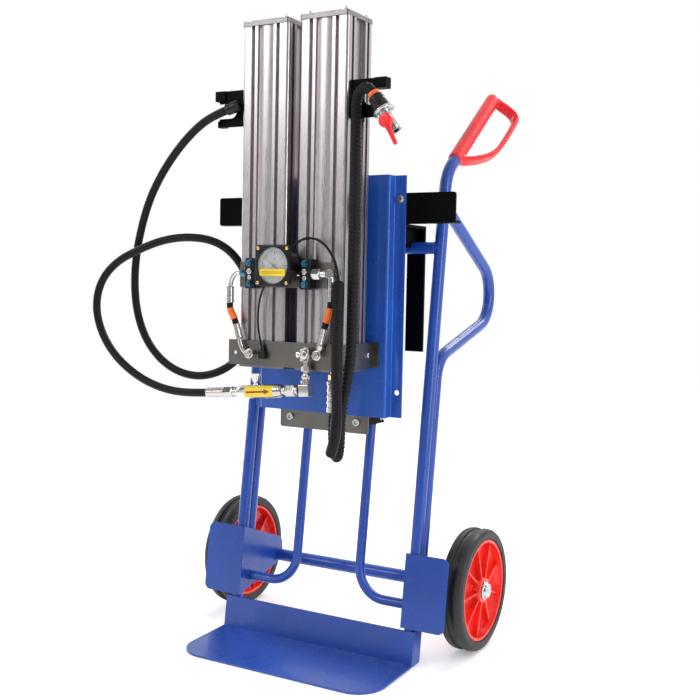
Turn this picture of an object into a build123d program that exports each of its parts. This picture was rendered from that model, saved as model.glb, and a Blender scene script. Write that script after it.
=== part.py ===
"""Wheeled cart with two upright square-profile cylinders, a pressure gauge, a throttle valve and hoses.

Units are millimetres, +Z is up and the cart faces -Y.  The model is laid out with the axle above
y = 0, and every part is moved at export so that the origin lies under the middle of the toe plate.
"""
from build123d import *
import math
import os

# ---------------------------------------------------------------- driving dimensions: cart
WHEEL_R = 125.0          # wheel radius, also the height of the axle
WHEEL_IN = 267.0         # inner end of the wheel hub, from the middle of the cart
WHEEL_OUT = 315.0        # outer end of the wheel hub
RIM_R = 104.0            # outside of the plastic rim
JOURNAL_R = 10.0         # axle journal
BUSH_R = 10.05           # running bore of the wheel bush
LEAN = 9.49              # backward lean of the cart frame, degrees
TUBE_R = 12.5            # frame tube, outside
WALL = 2.0               # frame tube wall
UPRIGHT_X = 213.0        # upright axis
UPRIGHT_Y = -126.0       # upright axis at axle height
BEND_Z = 977.0           # height where the upright turns back into the handle
HANDLE_TILT = 53.9       # handle axis from the vertical, degrees
HANDLE_LEN = 285.0       # from the bend corner to the tube's end
BOW_X = UPRIGHT_X
CROSSBAR_Z = 825.0
INNER_X = 77.5           # inner tube axis
INNER_R = 10.0
INNER_Y = -108.0         # inner tube axis at axle height
INNER_FOOT_Z = 107.0     # height of the inner tube's outward run
PLATE = 3.0              # gusset sheet
GUSSET_IN = 197.4        # inner face of the gusset's side plate
GUSSET_OUT = 292.0
GUSSET_LOW, GUSSET_TOP = 72.0, 218.0
AXLE_TUBE_R = 13.5
TOE_HALF = 229.5         # half width of the toe plate
TOE_FRONT = -331.0       # front edge of the blade
TOE_T = 3.5              # flange sheet
BLADE_T = 4.0
TOE_TOP = 68.0           # flange height
TOE_CORNER_R = 58.0
SEAT = TUBE_R + 0.1      # sheet seats this far from the tube axis

# ---------------------------------------------------------------- driving dimensions: module
MODULE_LEAN = 2.27       # backward lean of the cylinder module, degrees
MODULE_Y = -242.9        # front plane of the cylinders at height MODULE_Z
MODULE_Z = 700.0
CAP_W, CAP_D = 109.0, 95.0
CYL_X = (-68.0, 66.0)    # cylinder axes, left and right
CYL_Y = 48.0             # depth of the cylinder axes
CYL_LOW, CYL_TOP = 588.0, 1270.0
TOP_CAP, LOW_CAP = 10.0, 20.0
BORE_R = 40.0
PROFILE_W, PROFILE_D = 108.0, 92.0
PISTON_H = 36.0
ROD_SEAT = 4.0           # tie rods end this far above the underside of the bottom caps
PANEL_FRONT = 119.0      # depth of the panel's front face behind the cylinder front
PANEL_HALF = 151.5
PANEL_LOW, PANEL_TOP = 492.0, 974.0
JOGGLE = 22.4
EAR_HALF = 176.5
SHEET = 2.5
EAR_BOLT = (164.3, 927.3)
EAR_HOLE = (165.0, 542.3)
EAR_HOLE_R = 5.25
BAR_HALF = 282.0
BAR_LOW, BAR_TOP = 879.5, 939.5
BAR_T = 5.0
HOOK_X = (129.0, 169.0)
HOOK_LOW = 620.0
STRAP_Z = (592.0, 642.0)
STRAP_LEFT, STRAP_RIGHT = -144.0, 123.7
STRAP_HOLE = (-128.3, 615.9)
STRAP_HOLE_R = 4.0
GAUGE = (-11.5, 790.0)   # centre of the gauge, x and height
GAUGE_FACE = -47.0       # front of the gauge flange
GAUGE_SQ = 80.0
DIAL_R = 35.0
PIPE_Z = 775.0           # height of the pipes that feed the gauge
CLAMP_X = (-81.0, 47.0)
FIT_Y = -12.0            # depth of the gauge hoses
BRACKET_Z = (1069.0, 1141.0)
BRACKET_Y = 15.0
BRACKET_T = 4.0
THROTTLE = (52.0, -15.0, 552.0)   # centre of the elbow
THROTTLE_TILT = 5.0      # the throttle line falls to the left, degrees
THROTTLE_R = 13.5
HOSE_R = 8.5             # supply hose
VALVE_HOSE_R = 10.5
CONDUIT_R = 11.0
CABLE_R = 2.5
VALVE_AXIS = (0.574, 0.0, -0.819)   # flow axis of the ball valve, pointing out
VALVE_START = (189.0, -15.0, 1100.0)
OUTLET_R = 5.9           # threaded outlet of the ball valve
LEVER_AT = 58.0          # distance of the lever's pivot along the valve axis
LEVER_SWING = 8.0        # lever's angle off the flow axis when open, degrees

SIN, COS = math.sin(math.radians(LEAN)), math.cos(math.radians(LEAN))
TAN = SIN / COS
ORIGIN_Y = -247.0        # middle of the toe plate, where the row's origin lies

nodes = {}


# ---------------------------------------------------------------- helpers
def rod(start, end, radius, inner=0.0):
    """Round bar, or tube when inner is given, from one point to another."""
    run = Vector(*end) - Vector(*start)
    profile = Circle(radius) - Circle(inner) if inner else Circle(radius)
    return extrude(Plane(origin=start, z_dir=run) * profile, amount=run.length)


def cone(start, end, r_start, r_end):
    run = Vector(*end) - Vector(*start)
    bottom = (Align.CENTER, Align.CENTER, Align.MIN)
    return Plane(origin=start, z_dir=run) * Cone(r_start, r_end, run.length, align=bottom)


def hexagon(start, end, flats):
    run = Vector(*end) - Vector(*start)
    profile = RegularPolygon(flats / 2, 6, major_radius=False)
    return extrude(Plane(origin=start, z_dir=run) * profile, amount=run.length)


def block(x, y, z):
    """Box between the limits given for each axis."""
    size = [abs(b - a) for a, b in (x, y, z)]
    mid = [(a + b) / 2 for a, b in (x, y, z)]
    return Pos(*mid) * Box(*size)


def slab(points, x):
    """Outline in the side view (y, z), extruded between two values of x."""
    face = Plane(origin=(x[0], 0, 0), x_dir=(0, 1, 0), z_dir=(1, 0, 0)) * Polygon(*points, align=None)
    return extrude(face, amount=x[1] - x[0], dir=(1, 0, 0))


def bent(points, radii, radius, inner=0.0):
    """Tube along straight runs joined by tangent arcs."""
    path = FilletPolyline(*points, radius=radii)
    profile = Circle(radius) - Circle(inner) if inner else Circle(radius)
    return sweep(Plane(origin=path @ 0, z_dir=path % 0) * profile, path=path)


def arc_radii(points):
    """Largest arcs that the runs of a cord allow, one for each inner point."""
    radii = []
    for before, here, after in zip(points, points[1:], points[2:]):
        first = Vector(*here) - Vector(*before)
        second = Vector(*after) - Vector(*here)
        turn = math.radians(first.get_angle(second))
        radii.append(0.45 * min(first.length, second.length) / math.tan(turn / 2))
    return radii


def cord(name, points, radius):
    """Plain tube for a hose or cable, checked against its section times its length."""
    radii = arc_radii(points)
    path = FilletPolyline(*points, radius=radii)
    solid = sweep(Plane(origin=path @ 0, z_dir=path % 0) * Circle(radius), path=path)
    ratio = solid.volume / (math.pi * radius ** 2 * path.length)
    print(f"{name}: length {path.length:.0f}, smallest radius {min(radii):.1f}, volume ratio {ratio:.4f}")
    return solid


def mirrored(solid):
    return mirror(solid, about=Plane.YZ)


def upright_y(z):
    return UPRIGHT_Y + (z - WHEEL_R) * TAN


def leaning(x, away, z):
    """Point at height z in the plane that lies `away` behind the uprights' plane."""
    return (x, upright_y(z) + away / COS, z)


MODULE = Pos(0, MODULE_Y, MODULE_Z) * Rot(-MODULE_LEAN, 0, 0) * Pos(0, 0, -MODULE_Z)


def lean_module(solid):
    """Tilt a module part back and move it to its place on the cart."""
    return MODULE * solid


def on_cart(name, solid):
    nodes[name] = list(solid.solids())


def on_module(name, solid):
    nodes[name] = [MODULE * piece for piece in solid.solids()]


def group(*parts):
    """Separate solids kept together in one node."""
    return ShapeList([solid for part in parts for solid in part.solids()])


# ---------------------------------------------------------------- cart frame
def handle_points():
    tilt = math.radians(HANDLE_TILT)
    corner = (UPRIGHT_X, upright_y(BEND_Z), BEND_Z)
    end = (UPRIGHT_X, corner[1] + HANDLE_LEN * math.sin(tilt), BEND_Z + HANDLE_LEN * math.cos(tilt))
    return corner, end


def upright():
    corner, end = handle_points()
    foot = leaning(UPRIGHT_X, 0, 10.0)
    return bent([foot, corner, end], [80.0], TUBE_R, TUBE_R - WALL)


def upright_solid():
    """Filled upright, used to trim what is welded to it."""
    return rod(leaning(UPRIGHT_X, 0, 0.0), leaning(UPRIGHT_X, 0, BEND_Z - 40), TUBE_R)


def bow():
    behind = 2 * TUBE_R + 0.4
    rear_y = 247.0
    knee = leaning(BOW_X, behind, 599.4)
    points = [
        (BOW_X, upright_y(914.0), 914.0),
        (BOW_X, rear_y, 762.5),
        (BOW_X, rear_y, 667.6),
        knee,
        leaning(BOW_X, behind, 76.0),
    ]
    return bent(points, [68.0, 66.0, 62.0], TUBE_R, TUBE_R - WALL) - upright_solid()


def crossbar_axis(x):
    return (x, upright_y(CROSSBAR_Z), CROSSBAR_Z)


def crossbar():
    bar = rod(crossbar_axis(-UPRIGHT_X), crossbar_axis(UPRIGHT_X), TUBE_R, TUBE_R - WALL)
    return bar - upright_solid() - mirrored(upright_solid())


def inner_tube():
    def point(x, z):
        return (x, INNER_Y + (z - WHEEL_R) * TAN, z)
    points = [point(INNER_X, 832.0), point(INNER_X, INNER_FOOT_Z), point(GUSSET_IN, INNER_FOOT_Z)]
    tube = bent(points, [62.0], INNER_R, INNER_R - WALL)
    tube -= rod(crossbar_axis(-UPRIGHT_X), crossbar_axis(UPRIGHT_X), TUBE_R)
    return tube - lean_module(rod((50, LUG_BOLT[0], LUG_BOLT[1]), (120, LUG_BOLT[0], LUG_BOLT[1]), 5.2))


def gusset():
    plane = Plane(origin=(0, UPRIGHT_Y - SEAT / COS, WHEEL_R), x_dir=(1, 0, 0), z_dir=(0, -COS, SIN))
    low, top = (GUSSET_LOW - WHEEL_R) / COS, (GUSSET_TOP - WHEEL_R) / COS
    face = Pos((GUSSET_IN + GUSSET_OUT) / 2, (low + top) / 2) * Rectangle(GUSSET_OUT - GUSSET_IN, top - low)
    outer = face.vertices().sort_by(Axis.X)[-2:]
    face = fillet(outer, 14.0)
    front = extrude(plane * face, amount=PLATE)

    def front_y(z):
        return upright_y(z) - (SEAT + PLATE / 2) / COS
    outline = [(front_y(GUSSET_TOP), GUSSET_TOP), (14.0, 163.0), (20.0, 150.0), (20.0, 122.0),
               (12.0, 110.0), (front_y(GUSSET_LOW), GUSSET_LOW)]
    side = slab(outline, (GUSSET_IN, GUSSET_IN + PLATE))
    side -= rod((GUSSET_IN - 5, 0, WHEEL_R), (GUSSET_IN + 10, 0, WHEEL_R), JOURNAL_R + 0.2)
    return front + side


def stub_axle():
    spigot = rod((140, 0, WHEEL_R), (WHEEL_OUT + 6, 0, WHEEL_R), JOURNAL_R)
    shoulder = rod((GUSSET_IN + PLATE + 0.1, 0, WHEEL_R), (WHEEL_IN - 0.5, 0, WHEEL_R), AXLE_TUBE_R)
    return chamfer((spigot + shoulder).edges().group_by(Axis.X)[-1], 1.5)


def toe_plate():
    def back_y(z):
        return upright_y(z) - SEAT / COS
    thick = TOE_T / COS
    profile = [(TOE_FRONT, 0), (back_y(0), 0), (back_y(TOE_TOP), TOE_TOP),
               (back_y(TOE_TOP) - thick, TOE_TOP), (back_y(BLADE_T) - thick, BLADE_T), (TOE_FRONT, BLADE_T)]
    plate = slab(profile, (-TOE_HALF, TOE_HALF))
    corners = plate.edges().filter_by(Axis.Z).group_by(Axis.Y)[0]
    plate = fillet(corners, TOE_CORNER_R)
    depth = 32.0
    side = [(back_y(0) - 1, 0), (back_y(0) + depth, 0), (back_y(TOE_TOP) + depth, TOE_TOP),
            (back_y(TOE_TOP) - 1, TOE_TOP)]
    plate += slab(side, (TOE_HALF - TOE_T, TOE_HALF))
    plate += slab(side, (-TOE_HALF, -TOE_HALF + TOE_T))
    return plate


def grip():
    """Closed D grip: a sleeve on the handle tube with a knuckle guard turned outwards."""
    corner, end = handle_points()
    along = (Vector(*end) - Vector(*corner)).normalized()
    start = Vector(*corner) + along * 62.0
    outward = Vector(1, 0, 0)
    down = along.cross(outward)
    if down.Z > 0:
        down = down * -1
    guard_dir = (down + outward).normalized()
    plane = Plane(origin=start, x_dir=along, z_dir=along.cross(guard_dir))
    flip = 1 if plane.y_dir.dot(guard_dir) > 0 else -1

    def outline(points, radius):
        face = Polygon(*[(s, flip * w) for s, w in points], align=None)
        return fillet(face.vertices(), radius)
    outer = outline([(-14, 0), (-14, 18), (62, 66), (104, 74), (222, 74), (240, 52), (240, 0)], 9.0)
    inner = outline([(22, 6), (22, 26), (66, 54), (106, 62), (214, 62), (227, 48), (227, 6)], 7.0)
    guard = extrude(plane * (outer - inner), amount=13.0, both=True)
    sleeve = rod(start - along * 16, start + along * 241, 15.5)
    sleeve = fillet(sleeve.edges(), 4.0)
    return guard + sleeve - rod(corner, end, TUBE_R + 0.05)


# ---------------------------------------------------------------- wheels
def tyre():
    """Solid tyre: a ring with a rounded tread parted by a wide groove."""
    half = (WHEEL_OUT - WHEEL_IN) / 2 + 1.0
    mid = (WHEEL_IN + WHEEL_OUT) / 2
    profile = [(-half, RIM_R), (half, RIM_R), (half, 116), (half - 4, 122), (12, WHEEL_R), (6.5, WHEEL_R),
               (4.5, 120.5), (-4.5, 120.5), (-6.5, WHEEL_R), (-12, WHEEL_R), (-half + 4, 122), (-half, 116)]
    plane = Plane(origin=(mid, 0, WHEEL_R), x_dir=(1, 0, 0), z_dir=(0, -1, 0))
    face = plane * Polygon(*profile, align=None)
    return revolve(face, axis=Axis((0, 0, WHEEL_R), (1, 0, 0)))


def rim():
    mid = (WHEEL_IN + WHEEL_OUT) / 2
    half = (WHEEL_OUT - WHEEL_IN) / 2

    def ring(r_out, r_in, x_half, offset=0.0):
        centre = mid + offset
        return rod((centre - x_half, 0, WHEEL_R), (centre + x_half, 0, WHEEL_R), r_out, r_in)
    body = ring(RIM_R, RIM_R - 7, half) + ring(27.0, 14.0, half) + ring(RIM_R - 5, 24.0, 2.0)
    spokes = 9
    for k in range(spokes):
        spoke = block((mid - half + 5, mid + half - 5), (-3.5, 3.5), (22.0, RIM_R - 4))
        body += Pos(0, 0, WHEEL_R) * Rot(360.0 * k / spokes + 20, 0, 0) * spoke
    return body - rod((0, 0, WHEEL_R), (400, 0, WHEEL_R), 14.0)


def bush():
    return rod((WHEEL_IN, 0, WHEEL_R), (WHEEL_OUT, 0, WHEEL_R), 14.0, BUSH_R)


def hub_cap():
    start = WHEEL_OUT + 0.5
    cap = rod((start, 0, WHEEL_R), (start + 8.5, 0, WHEEL_R), 15.5)
    cap = fillet(cap.edges().group_by(Axis.X)[-1], 5.0)
    flange = rod((start, 0, WHEEL_R), (start + 2.0, 0, WHEEL_R), 19.0)
    return cap + flange - rod((start - 5, 0, WHEEL_R), (WHEEL_OUT + 6.1, 0, WHEEL_R), JOURNAL_R + 0.02)


# ---------------------------------------------------------------- cylinders
def barrel(x):
    """Extruded profile with two slots in each face and the bore's wall showing between them."""
    face = RectangleRounded(PROFILE_W, PROFILE_D, 6.0)
    for quarter in range(4):
        turn = Rot(0, 0, 90 * quarter)
        edge = (PROFILE_D, PROFILE_W)[quarter % 2] / 2
        for groove in (-29.0, 29.0):
            face -= turn * Pos(groove, edge - 5) * Rectangle(8.0, 10.2)
        face -= turn * Pos(0, edge - 4) * Rectangle(36.0, 8.4)
    face += Circle(44.5)
    face -= Circle(BORE_R)
    for cx in (-39.5, 39.5):
        for cy in (-39.5, 39.5):
            face -= Pos(cx, cy) * Circle(4.2)
    low, top = CYL_LOW + LOW_CAP, CYL_TOP - TOP_CAP
    return Pos(x, CYL_Y, low) * extrude(face, amount=top - low)


def cap(x, low, top, floor=-1.0):
    """End cap; the tie-rod holes start `floor` above its underside."""
    plate = Pos(x, CAP_D / 2, (low + top) / 2) * Box(CAP_W, CAP_D, top - low)
    plate = fillet(plate.edges().filter_by(Axis.Z), 5.0)
    plate = chamfer(plate.edges().group_by(Axis.Z)[-1], 0.8)
    for cx in (-39.5, 39.5):
        for cy in (-39.5, 39.5):
            px, py = x + cx, CYL_Y + cy
            plate -= rod((px, py, low + floor), (px, py, top + 1), 4.2)
    return plate


def tie_rods(x):
    rods = []
    for cx in (-39.5, 39.5):
        for cy in (-39.5, 39.5):
            px, py = x + cx, CYL_Y + cy
            rods.append(rod((px, py, CYL_LOW + ROD_SEAT), (px, py, CYL_TOP + 7.5), 4.0))
            nut = hexagon((px, py, CYL_TOP), (px, py, CYL_TOP + 6.4), 12.0)
            rods.append(nut - rod((px, py, CYL_TOP - 1), (px, py, CYL_TOP + 9), 4.05))
    return group(*rods)


def piston(x):
    low = CYL_LOW + LOW_CAP + 0.3
    y = CYL_Y
    body = rod((x, y, low), (x, y, low + PISTON_H), 39.7)
    seals = []
    for z in (low + 7, low + PISTON_H - 11):
        body -= rod((x, y, z), (x, y, z + 4), 41.0, 37.0)
        seals.append(rod((x, y, z + 0.1), (x, y, z + 3.9), BORE_R - 0.04, 37.1))
    return group(body, *seals)


# ---------------------------------------------------------------- panel, hooks and lower bracket
LUG_BOLT = (202.5, 486.0)        # depth and height of the bolts through the inner tubes
LUG_X = (62.0, 98.0)
BRACKET_X = (-99.0, 112.0)
SOCKET_X = (-73.5, 85.5)
SOCKET_Z = 478.5


def panel():
    back = PANEL_FRONT + JOGGLE
    height = (PANEL_LOW, PANEL_TOP)
    body = block((-PANEL_HALF, PANEL_HALF), (PANEL_FRONT, PANEL_FRONT + SHEET), height)
    for side in (-1, 1):
        inner = side * (PANEL_HALF - SHEET)
        outer = side * PANEL_HALF
        body += block((inner, outer), (PANEL_FRONT, back + SHEET), height)
        ear = block((inner, side * EAR_HALF), (back, back + SHEET), height)
        edge = ear.edges().filter_by(Axis.Y).sort_by(Axis.X)
        ear = fillet(edge[-2:] if side > 0 else edge[:2], 5.0)
        body += ear
        for (x, z), r in ((EAR_BOLT, 4.3), (EAR_HOLE, EAR_HOLE_R)):
            body -= rod((side * x, back - 5, z), (side * x, back + 10, z), r)
    return body


def hook_bar():
    y0 = PANEL_FRONT + JOGGLE + SHEET
    front = block((-BAR_HALF, BAR_HALF), (y0, y0 + BAR_T), (BAR_LOW, BAR_TOP))
    front = fillet(front.edges().filter_by(Axis.Y), 5.0)
    leg = block((-BAR_HALF, BAR_HALF), (y0 + BAR_T - 0.5, y0 + 26), (BAR_LOW, BAR_LOW + BAR_T))
    bar = front + leg
    for side in (-1, 1):
        x, z = side * EAR_BOLT[0], EAR_BOLT[1]
        bar -= rod((x, y0 - 2, z), (x, y0 + 9, z), 4.3)
    return bar


def crossbar_in_module():
    """Depth and height of the crossbar's axis, measured in the module."""
    tilt = math.radians(MODULE_LEAN)
    dy, dz = upright_y(CROSSBAR_Z) - MODULE_Y, CROSSBAR_Z - MODULE_Z
    return dy * math.cos(tilt) - dz * math.sin(tilt), MODULE_Z + dy * math.sin(tilt) + dz * math.cos(tilt)


def hook():
    y0 = PANEL_FRONT + JOGGLE + SHEET + BAR_T
    bar_y, bar_z = crossbar_in_module()
    rear = bar_y + TUBE_R + 3.0
    top = block(HOOK_X, (y0, rear + 6), (BAR_LOW - 6, BAR_LOW))
    leg = block(HOOK_X, (rear, rear + 6), (HOOK_LOW, BAR_LOW - 0.5))
    mid = sum(HOOK_X) / 2
    rib = block((mid - 3, mid + 3), (y0 + 30, rear + 1), (bar_z, BAR_LOW - 3))
    rib -= rod((mid - 10, bar_y, bar_z), (mid + 10, bar_y, bar_z), TUBE_R + 0.05)
    return top + leg + rib


def ear_bolt(side):
    x, z = side * EAR_BOLT[0], EAR_BOLT[1]
    face = PANEL_FRONT + JOGGLE
    head = rod((x, face - 5.5, z), (x, face - 1.6, z), 7.0)
    head = fillet(head.edges().group_by(Axis.Y)[0], 2.0)
    washer = rod((x, face - 1.6, z), (x, face, z), 8.5)
    shank = rod((x, face - 1.6, z), (x, face + SHEET + BAR_T + 10, z), 4.0)
    nut = hexagon((x, face + SHEET + BAR_T, z), (x, face + SHEET + BAR_T + 6.5, z), 13.0)
    return head + washer + shank + nut


def strap_screw():
    x, y, z = STRAP_RIGHT, 93.0, 618.0
    head = rod((x, y, z), (x + 4, y, z), 5.5)
    return fillet(head.edges().group_by(Axis.X)[-1], 2.0)


def lower_bracket():
    y0 = PANEL_FRONT + SHEET + 0.1
    plate = block(BRACKET_X, (y0, y0 + 3.0), (455.6, 526.0))
    plate = fillet(plate.edges().filter_by(Axis.Y).group_by(Axis.Z)[0], 5.0)
    for x in SOCKET_X:
        plate -= rod((x, y0 - 2, SOCKET_Z), (x, y0 + 6, SOCKET_Z), 5.2)
    return plate


def tube_lug(socket_x):
    y0 = PANEL_FRONT + SHEET + 3.1
    front = block(LUG_X, (y0, 190.0), (470.0, 500.0))
    cheek = block((88.0, LUG_X[1]), (185.0, 217.0), (470.0, 500.0))
    lug = front + cheek
    lug -= rod((80, LUG_BOLT[0], LUG_BOLT[1]), (110, LUG_BOLT[0], LUG_BOLT[1]), 5.2)
    return lug - rod((socket_x, y0 - 1, SOCKET_Z), (socket_x, y0 + 18, SOCKET_Z), 5.2)


def socket_screw(x):
    y0 = PANEL_FRONT + SHEET + 0.1
    head = rod((x, y0 - 5, SOCKET_Z), (x, y0, SOCKET_Z), 8.0)
    head = chamfer(head.edges().group_by(Axis.Y)[0], 1.0)
    head -= hexagon((x, y0 - 6, SOCKET_Z), (x, y0 - 1.5, SOCKET_Z), 8.0)
    return head + rod((x, y0 - 0.5, SOCKET_Z), (x, y0 + 17, SOCKET_Z), 5.0)


def lug_bolt():
    y, z = LUG_BOLT

    def at(x):
        return (x, y, z)
    bolt = rod(at(64), at(112), 5.0) + hexagon(at(60), at(66.5), 16.0) + rod(at(98.1), at(100), 10.0)
    return bolt + hexagon(at(100), at(108), 16.0)


def standoff(x, z):
    return block((x - 26, x + 26), (CYL_Y + PROFILE_D / 2, PANEL_FRONT), (z, z + 40))


def strap():
    z = STRAP_Z
    body = block((STRAP_LEFT, STRAP_RIGHT), (-3.0, 0), z)
    body += block((STRAP_RIGHT - 3, STRAP_RIGHT), (-3.0, PANEL_FRONT), z)
    body += block((STRAP_RIGHT - 3, 136.0), (PANEL_FRONT - 3, PANEL_FRONT), z)
    return body - rod((STRAP_HOLE[0], -5, STRAP_HOLE[1]), (STRAP_HOLE[0], 3, STRAP_HOLE[1]), STRAP_HOLE_R)


# ---------------------------------------------------------------- gauge
def gauge_plate():
    plate = block((-120.0, 100.0), (-1.0, 1.9), (748.0, 798.0))
    for x in CLAMP_X:
        for z in (PIPE_Z - 20, PIPE_Z + 20):
            plate -= rod((x, -3, z), (x, 4, z), 3.2)
    return plate


def gauge_body():
    x, z = GAUGE
    outline = RectangleRounded(GAUGE_SQ, GAUGE_SQ, 9)
    flange = Pos(x, GAUGE_FACE + 3, z) * Rot(90, 0, 0) * extrude(outline, 3, both=True)
    case = rod((x, -1.1, z), (x, GAUGE_FACE + 4, z), DIAL_R + 2)
    body = flange + case - rod((x, GAUGE_FACE - 1, z), (x, GAUGE_FACE + 9, z), DIAL_R)
    body += rod((x, GAUGE_FACE + 10, z), (x, GAUGE_FACE + 3.2, z), 1.0)
    for dx in (-33.0, 33.0):
        for dz in (-33.0, 33.0):
            body += rod((x + dx, GAUGE_FACE - 1.5, z + dz), (x + dx, GAUGE_FACE + 1, z + dz), 3.6)
    return body


def gauge_dial():
    x, z = GAUGE
    return rod((x, GAUGE_FACE + 9, z), (x, GAUGE_FACE + 8, z), DIAL_R - 0.1, 1.3)


def gauge_lens():
    x, z = GAUGE
    return rod((x, GAUGE_FACE + 1, z), (x, GAUGE_FACE + 2.6, z), DIAL_R - 0.1)


def gauge_needle():
    x, z = GAUGE
    near, far = GAUGE_FACE + 5.6, GAUGE_FACE + 4.6
    hub = rod((x, near, z), (x, far, z), 3.5)
    reach = math.radians(146.0)

    def spot(length, side):
        ux, uz = math.cos(reach), math.sin(reach)
        return (x + ux * length - uz * side, z + uz * length + ux * side)
    outline = [spot(-9, -1.6), spot(-9, 1.6), spot(25, 0.5), spot(25, -0.5)]
    flat = Plane(origin=(0, near, 0), x_dir=(1, 0, 0), z_dir=(0, -1, 0)) * Polygon(*outline, align=None)
    return hub + extrude(flat, amount=near - far) - rod((x, near + 1, z), (x, far - 1, z), 1.06)


def pipe_clamp(x):
    body = block((x - 12, x + 12), (-22.0, -1.1), (PIPE_Z - 30, PIPE_Z + 30))
    body = fillet(body.edges().filter_by(Axis.Y), 4.0)
    body -= rod((x - 20, FIT_Y, PIPE_Z), (x + 20, FIT_Y, PIPE_Z), 6.55)
    for z in (PIPE_Z - 20, PIPE_Z + 20):
        body -= rod((x, -25, z), (x, 2, z), 3.2)
    return body


def clamp_bolt(x, z):
    head = hexagon((x, -27.5, z), (x, -22.1, z), 13.0)
    washer = rod((x, -23.4, z), (x, -22.0, z), 8.0)
    return head + washer + rod((x, -23, z), (x, 1.5, z), 3.0)


# ---------------------------------------------------------------- gauge hoses and their fittings
def at_fit(x, z):
    return (x, FIT_Y, z)


def left_hose():
    points = [at_fit(-136, 715.8), at_fit(-136, 703), at_fit(-124.1, 684.4), at_fit(-120.6, 673.3)]
    return bent(points, arc_radii(points), 6.5)


def right_hose():
    points = [at_fit(100, 722.8), at_fit(100, 708), at_fit(90.9, 685.8), at_fit(87.4, 672.4)]
    return bent(points, arc_radii(points), 6.5)


def banjo(x, z, pipe_end):
    """Hollow-bolt joint on the front of the strap, with its pipe stub."""
    ring = rod((x, -3.1, z), (x, -17, z), 10.0)
    head = hexagon((x, -16.5, z), (x, -22, z), 15.0)
    return ring + head + rod((x, FIT_Y, z), pipe_end, 4.5)


def gauge_fittings():
    body_left = GAUGE[0] - 36.5
    left_pipe = bent([at_fit(body_left, PIPE_Z), at_fit(-126, PIPE_Z), at_fit(-136, 748)], [12.0], 5.0)
    left_pipe += rod(at_fit(-104, PIPE_Z), at_fit(-95, PIPE_Z), 8.0)
    left_low = rod(at_fit(-120.5, 673), at_fit(-110, 640), 8.0) + banjo(-86, 616, at_fit(-110, 640))
    right_pipe = rod(at_fit(25.5, PIPE_Z), at_fit(62, PIPE_Z), 5.0)
    right_pipe += hexagon(at_fit(60, PIPE_Z), at_fit(80, PIPE_Z), 20.0)
    right_pipe += bent([at_fit(78, PIPE_Z), at_fit(100, PIPE_Z), at_fit(100, 748)], [14.0], 8.0)
    right_low = rod(at_fit(87.3, 672), at_fit(79, 640), 8.0) + banjo(72, 620, at_fit(79, 641))
    upper_left = rod(at_fit(-136, 748), at_fit(-136, 716), 8.0)
    upper_right = rod(at_fit(100, 748), at_fit(100, 723), 7.0)
    grommet = block((-66.0, -50.0), (-13.0, -3.1), (606.0, 622.0))
    return group(left_pipe + upper_left, left_low, right_pipe + upper_right, right_low, grommet)


# ---------------------------------------------------------------- throttle valve line
def tilted(solid):
    """Turn what is built level about the elbow's centre, so that the line falls to the left."""
    x, y, z = THROTTLE
    return Pos(x, y, z) * Rot(0, -THROTTLE_TILT, 0) * solid


def along_line(start, end, radius, inner=0.0):
    return rod((-start, 0, 0), (-end, 0, 0), radius, inner)


def throttle_body():
    body = along_line(56, 161, THROTTLE_R)
    body = fillet(body.edges(), 2.0)
    body += rod((-118, 0, 12), (-118, 0, 16), 6.0)
    body -= rod((-118, 0, 5), (-118, 0, 17), 3.1)
    return tilted(body)


def throttle_knob():
    knob = cone((-118, 0, 17), (-118, 0, 34), 5.5, 12.0)
    knob += rod((-118, 0, 33.9), (-118, 0, 36), 12.0)
    return tilted(knob + rod((-118, 0, 6), (-118, 0, 18), 3.04))


def throttle_fittings():
    nut_right = hexagon((-25, 0, 0), (-48, 0, 0), 23.0) + along_line(48, 55.9, 8.0)
    elbow = block((-22, 12), (-11, 11), (-12, 12)) + along_line(20, 26, 8.0)
    nut_left = hexagon((-171, 0, 0), (-196, 0, 0), 22.0) + along_line(161.1, 172, 8.5)
    x, y, z = THROTTLE
    riser = rod((x - 3, y, z + 11), (x - 3, y, z + 56), 6.0)
    union = hexagon((x - 3, y, z + 12), (x - 3, y, z + 22), 17.0)
    ball = Pos(x - 3, y, z + 27) * Sphere(8.0)
    tee = block((x - 14, x + 8), (y - 10, y + 11.8), (z + 55, z + 80))
    return group(tilted(nut_right), tilted(elbow) + riser + union + ball + tee, tilted(nut_left))


# ---------------------------------------------------------------- hose brackets and ball valve
def hose_bracket(inner, notch_x, notch_z):
    """Plate on the cylinder's side with a notch and a forward lip that hold the hose."""
    outer = 188.0
    low, top = BRACKET_Z
    plate = block((inner + 0.1, outer), (BRACKET_Y, BRACKET_Y + BRACKET_T), BRACKET_Z)
    plate += block((inner + 0.1, inner + 4.1), (BRACKET_Y, BRACKET_Y + 46), BRACKET_Z)
    plate -= block((notch_x, outer + 5), (0, 40), (notch_z - 16, notch_z + 14))
    plate -= rod((notch_x, 0, notch_z - 1), (notch_x, 30, notch_z - 1), 15.0)
    plate += block((outer - 16, outer + 8), (BRACKET_Y - 4, BRACKET_Y + 16), (top - 20, top))
    plate += block((outer - 12, outer + 4), (BRACKET_Y, BRACKET_Y + 14), (low, low + 13))
    return plate


def on_valve(distance):
    return tuple(s + a * distance for s, a in zip(VALVE_START, VALVE_AXIS))


def lever_pivot():
    x, y, z = on_valve(LEVER_AT)
    return (x, y, z)


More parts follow.
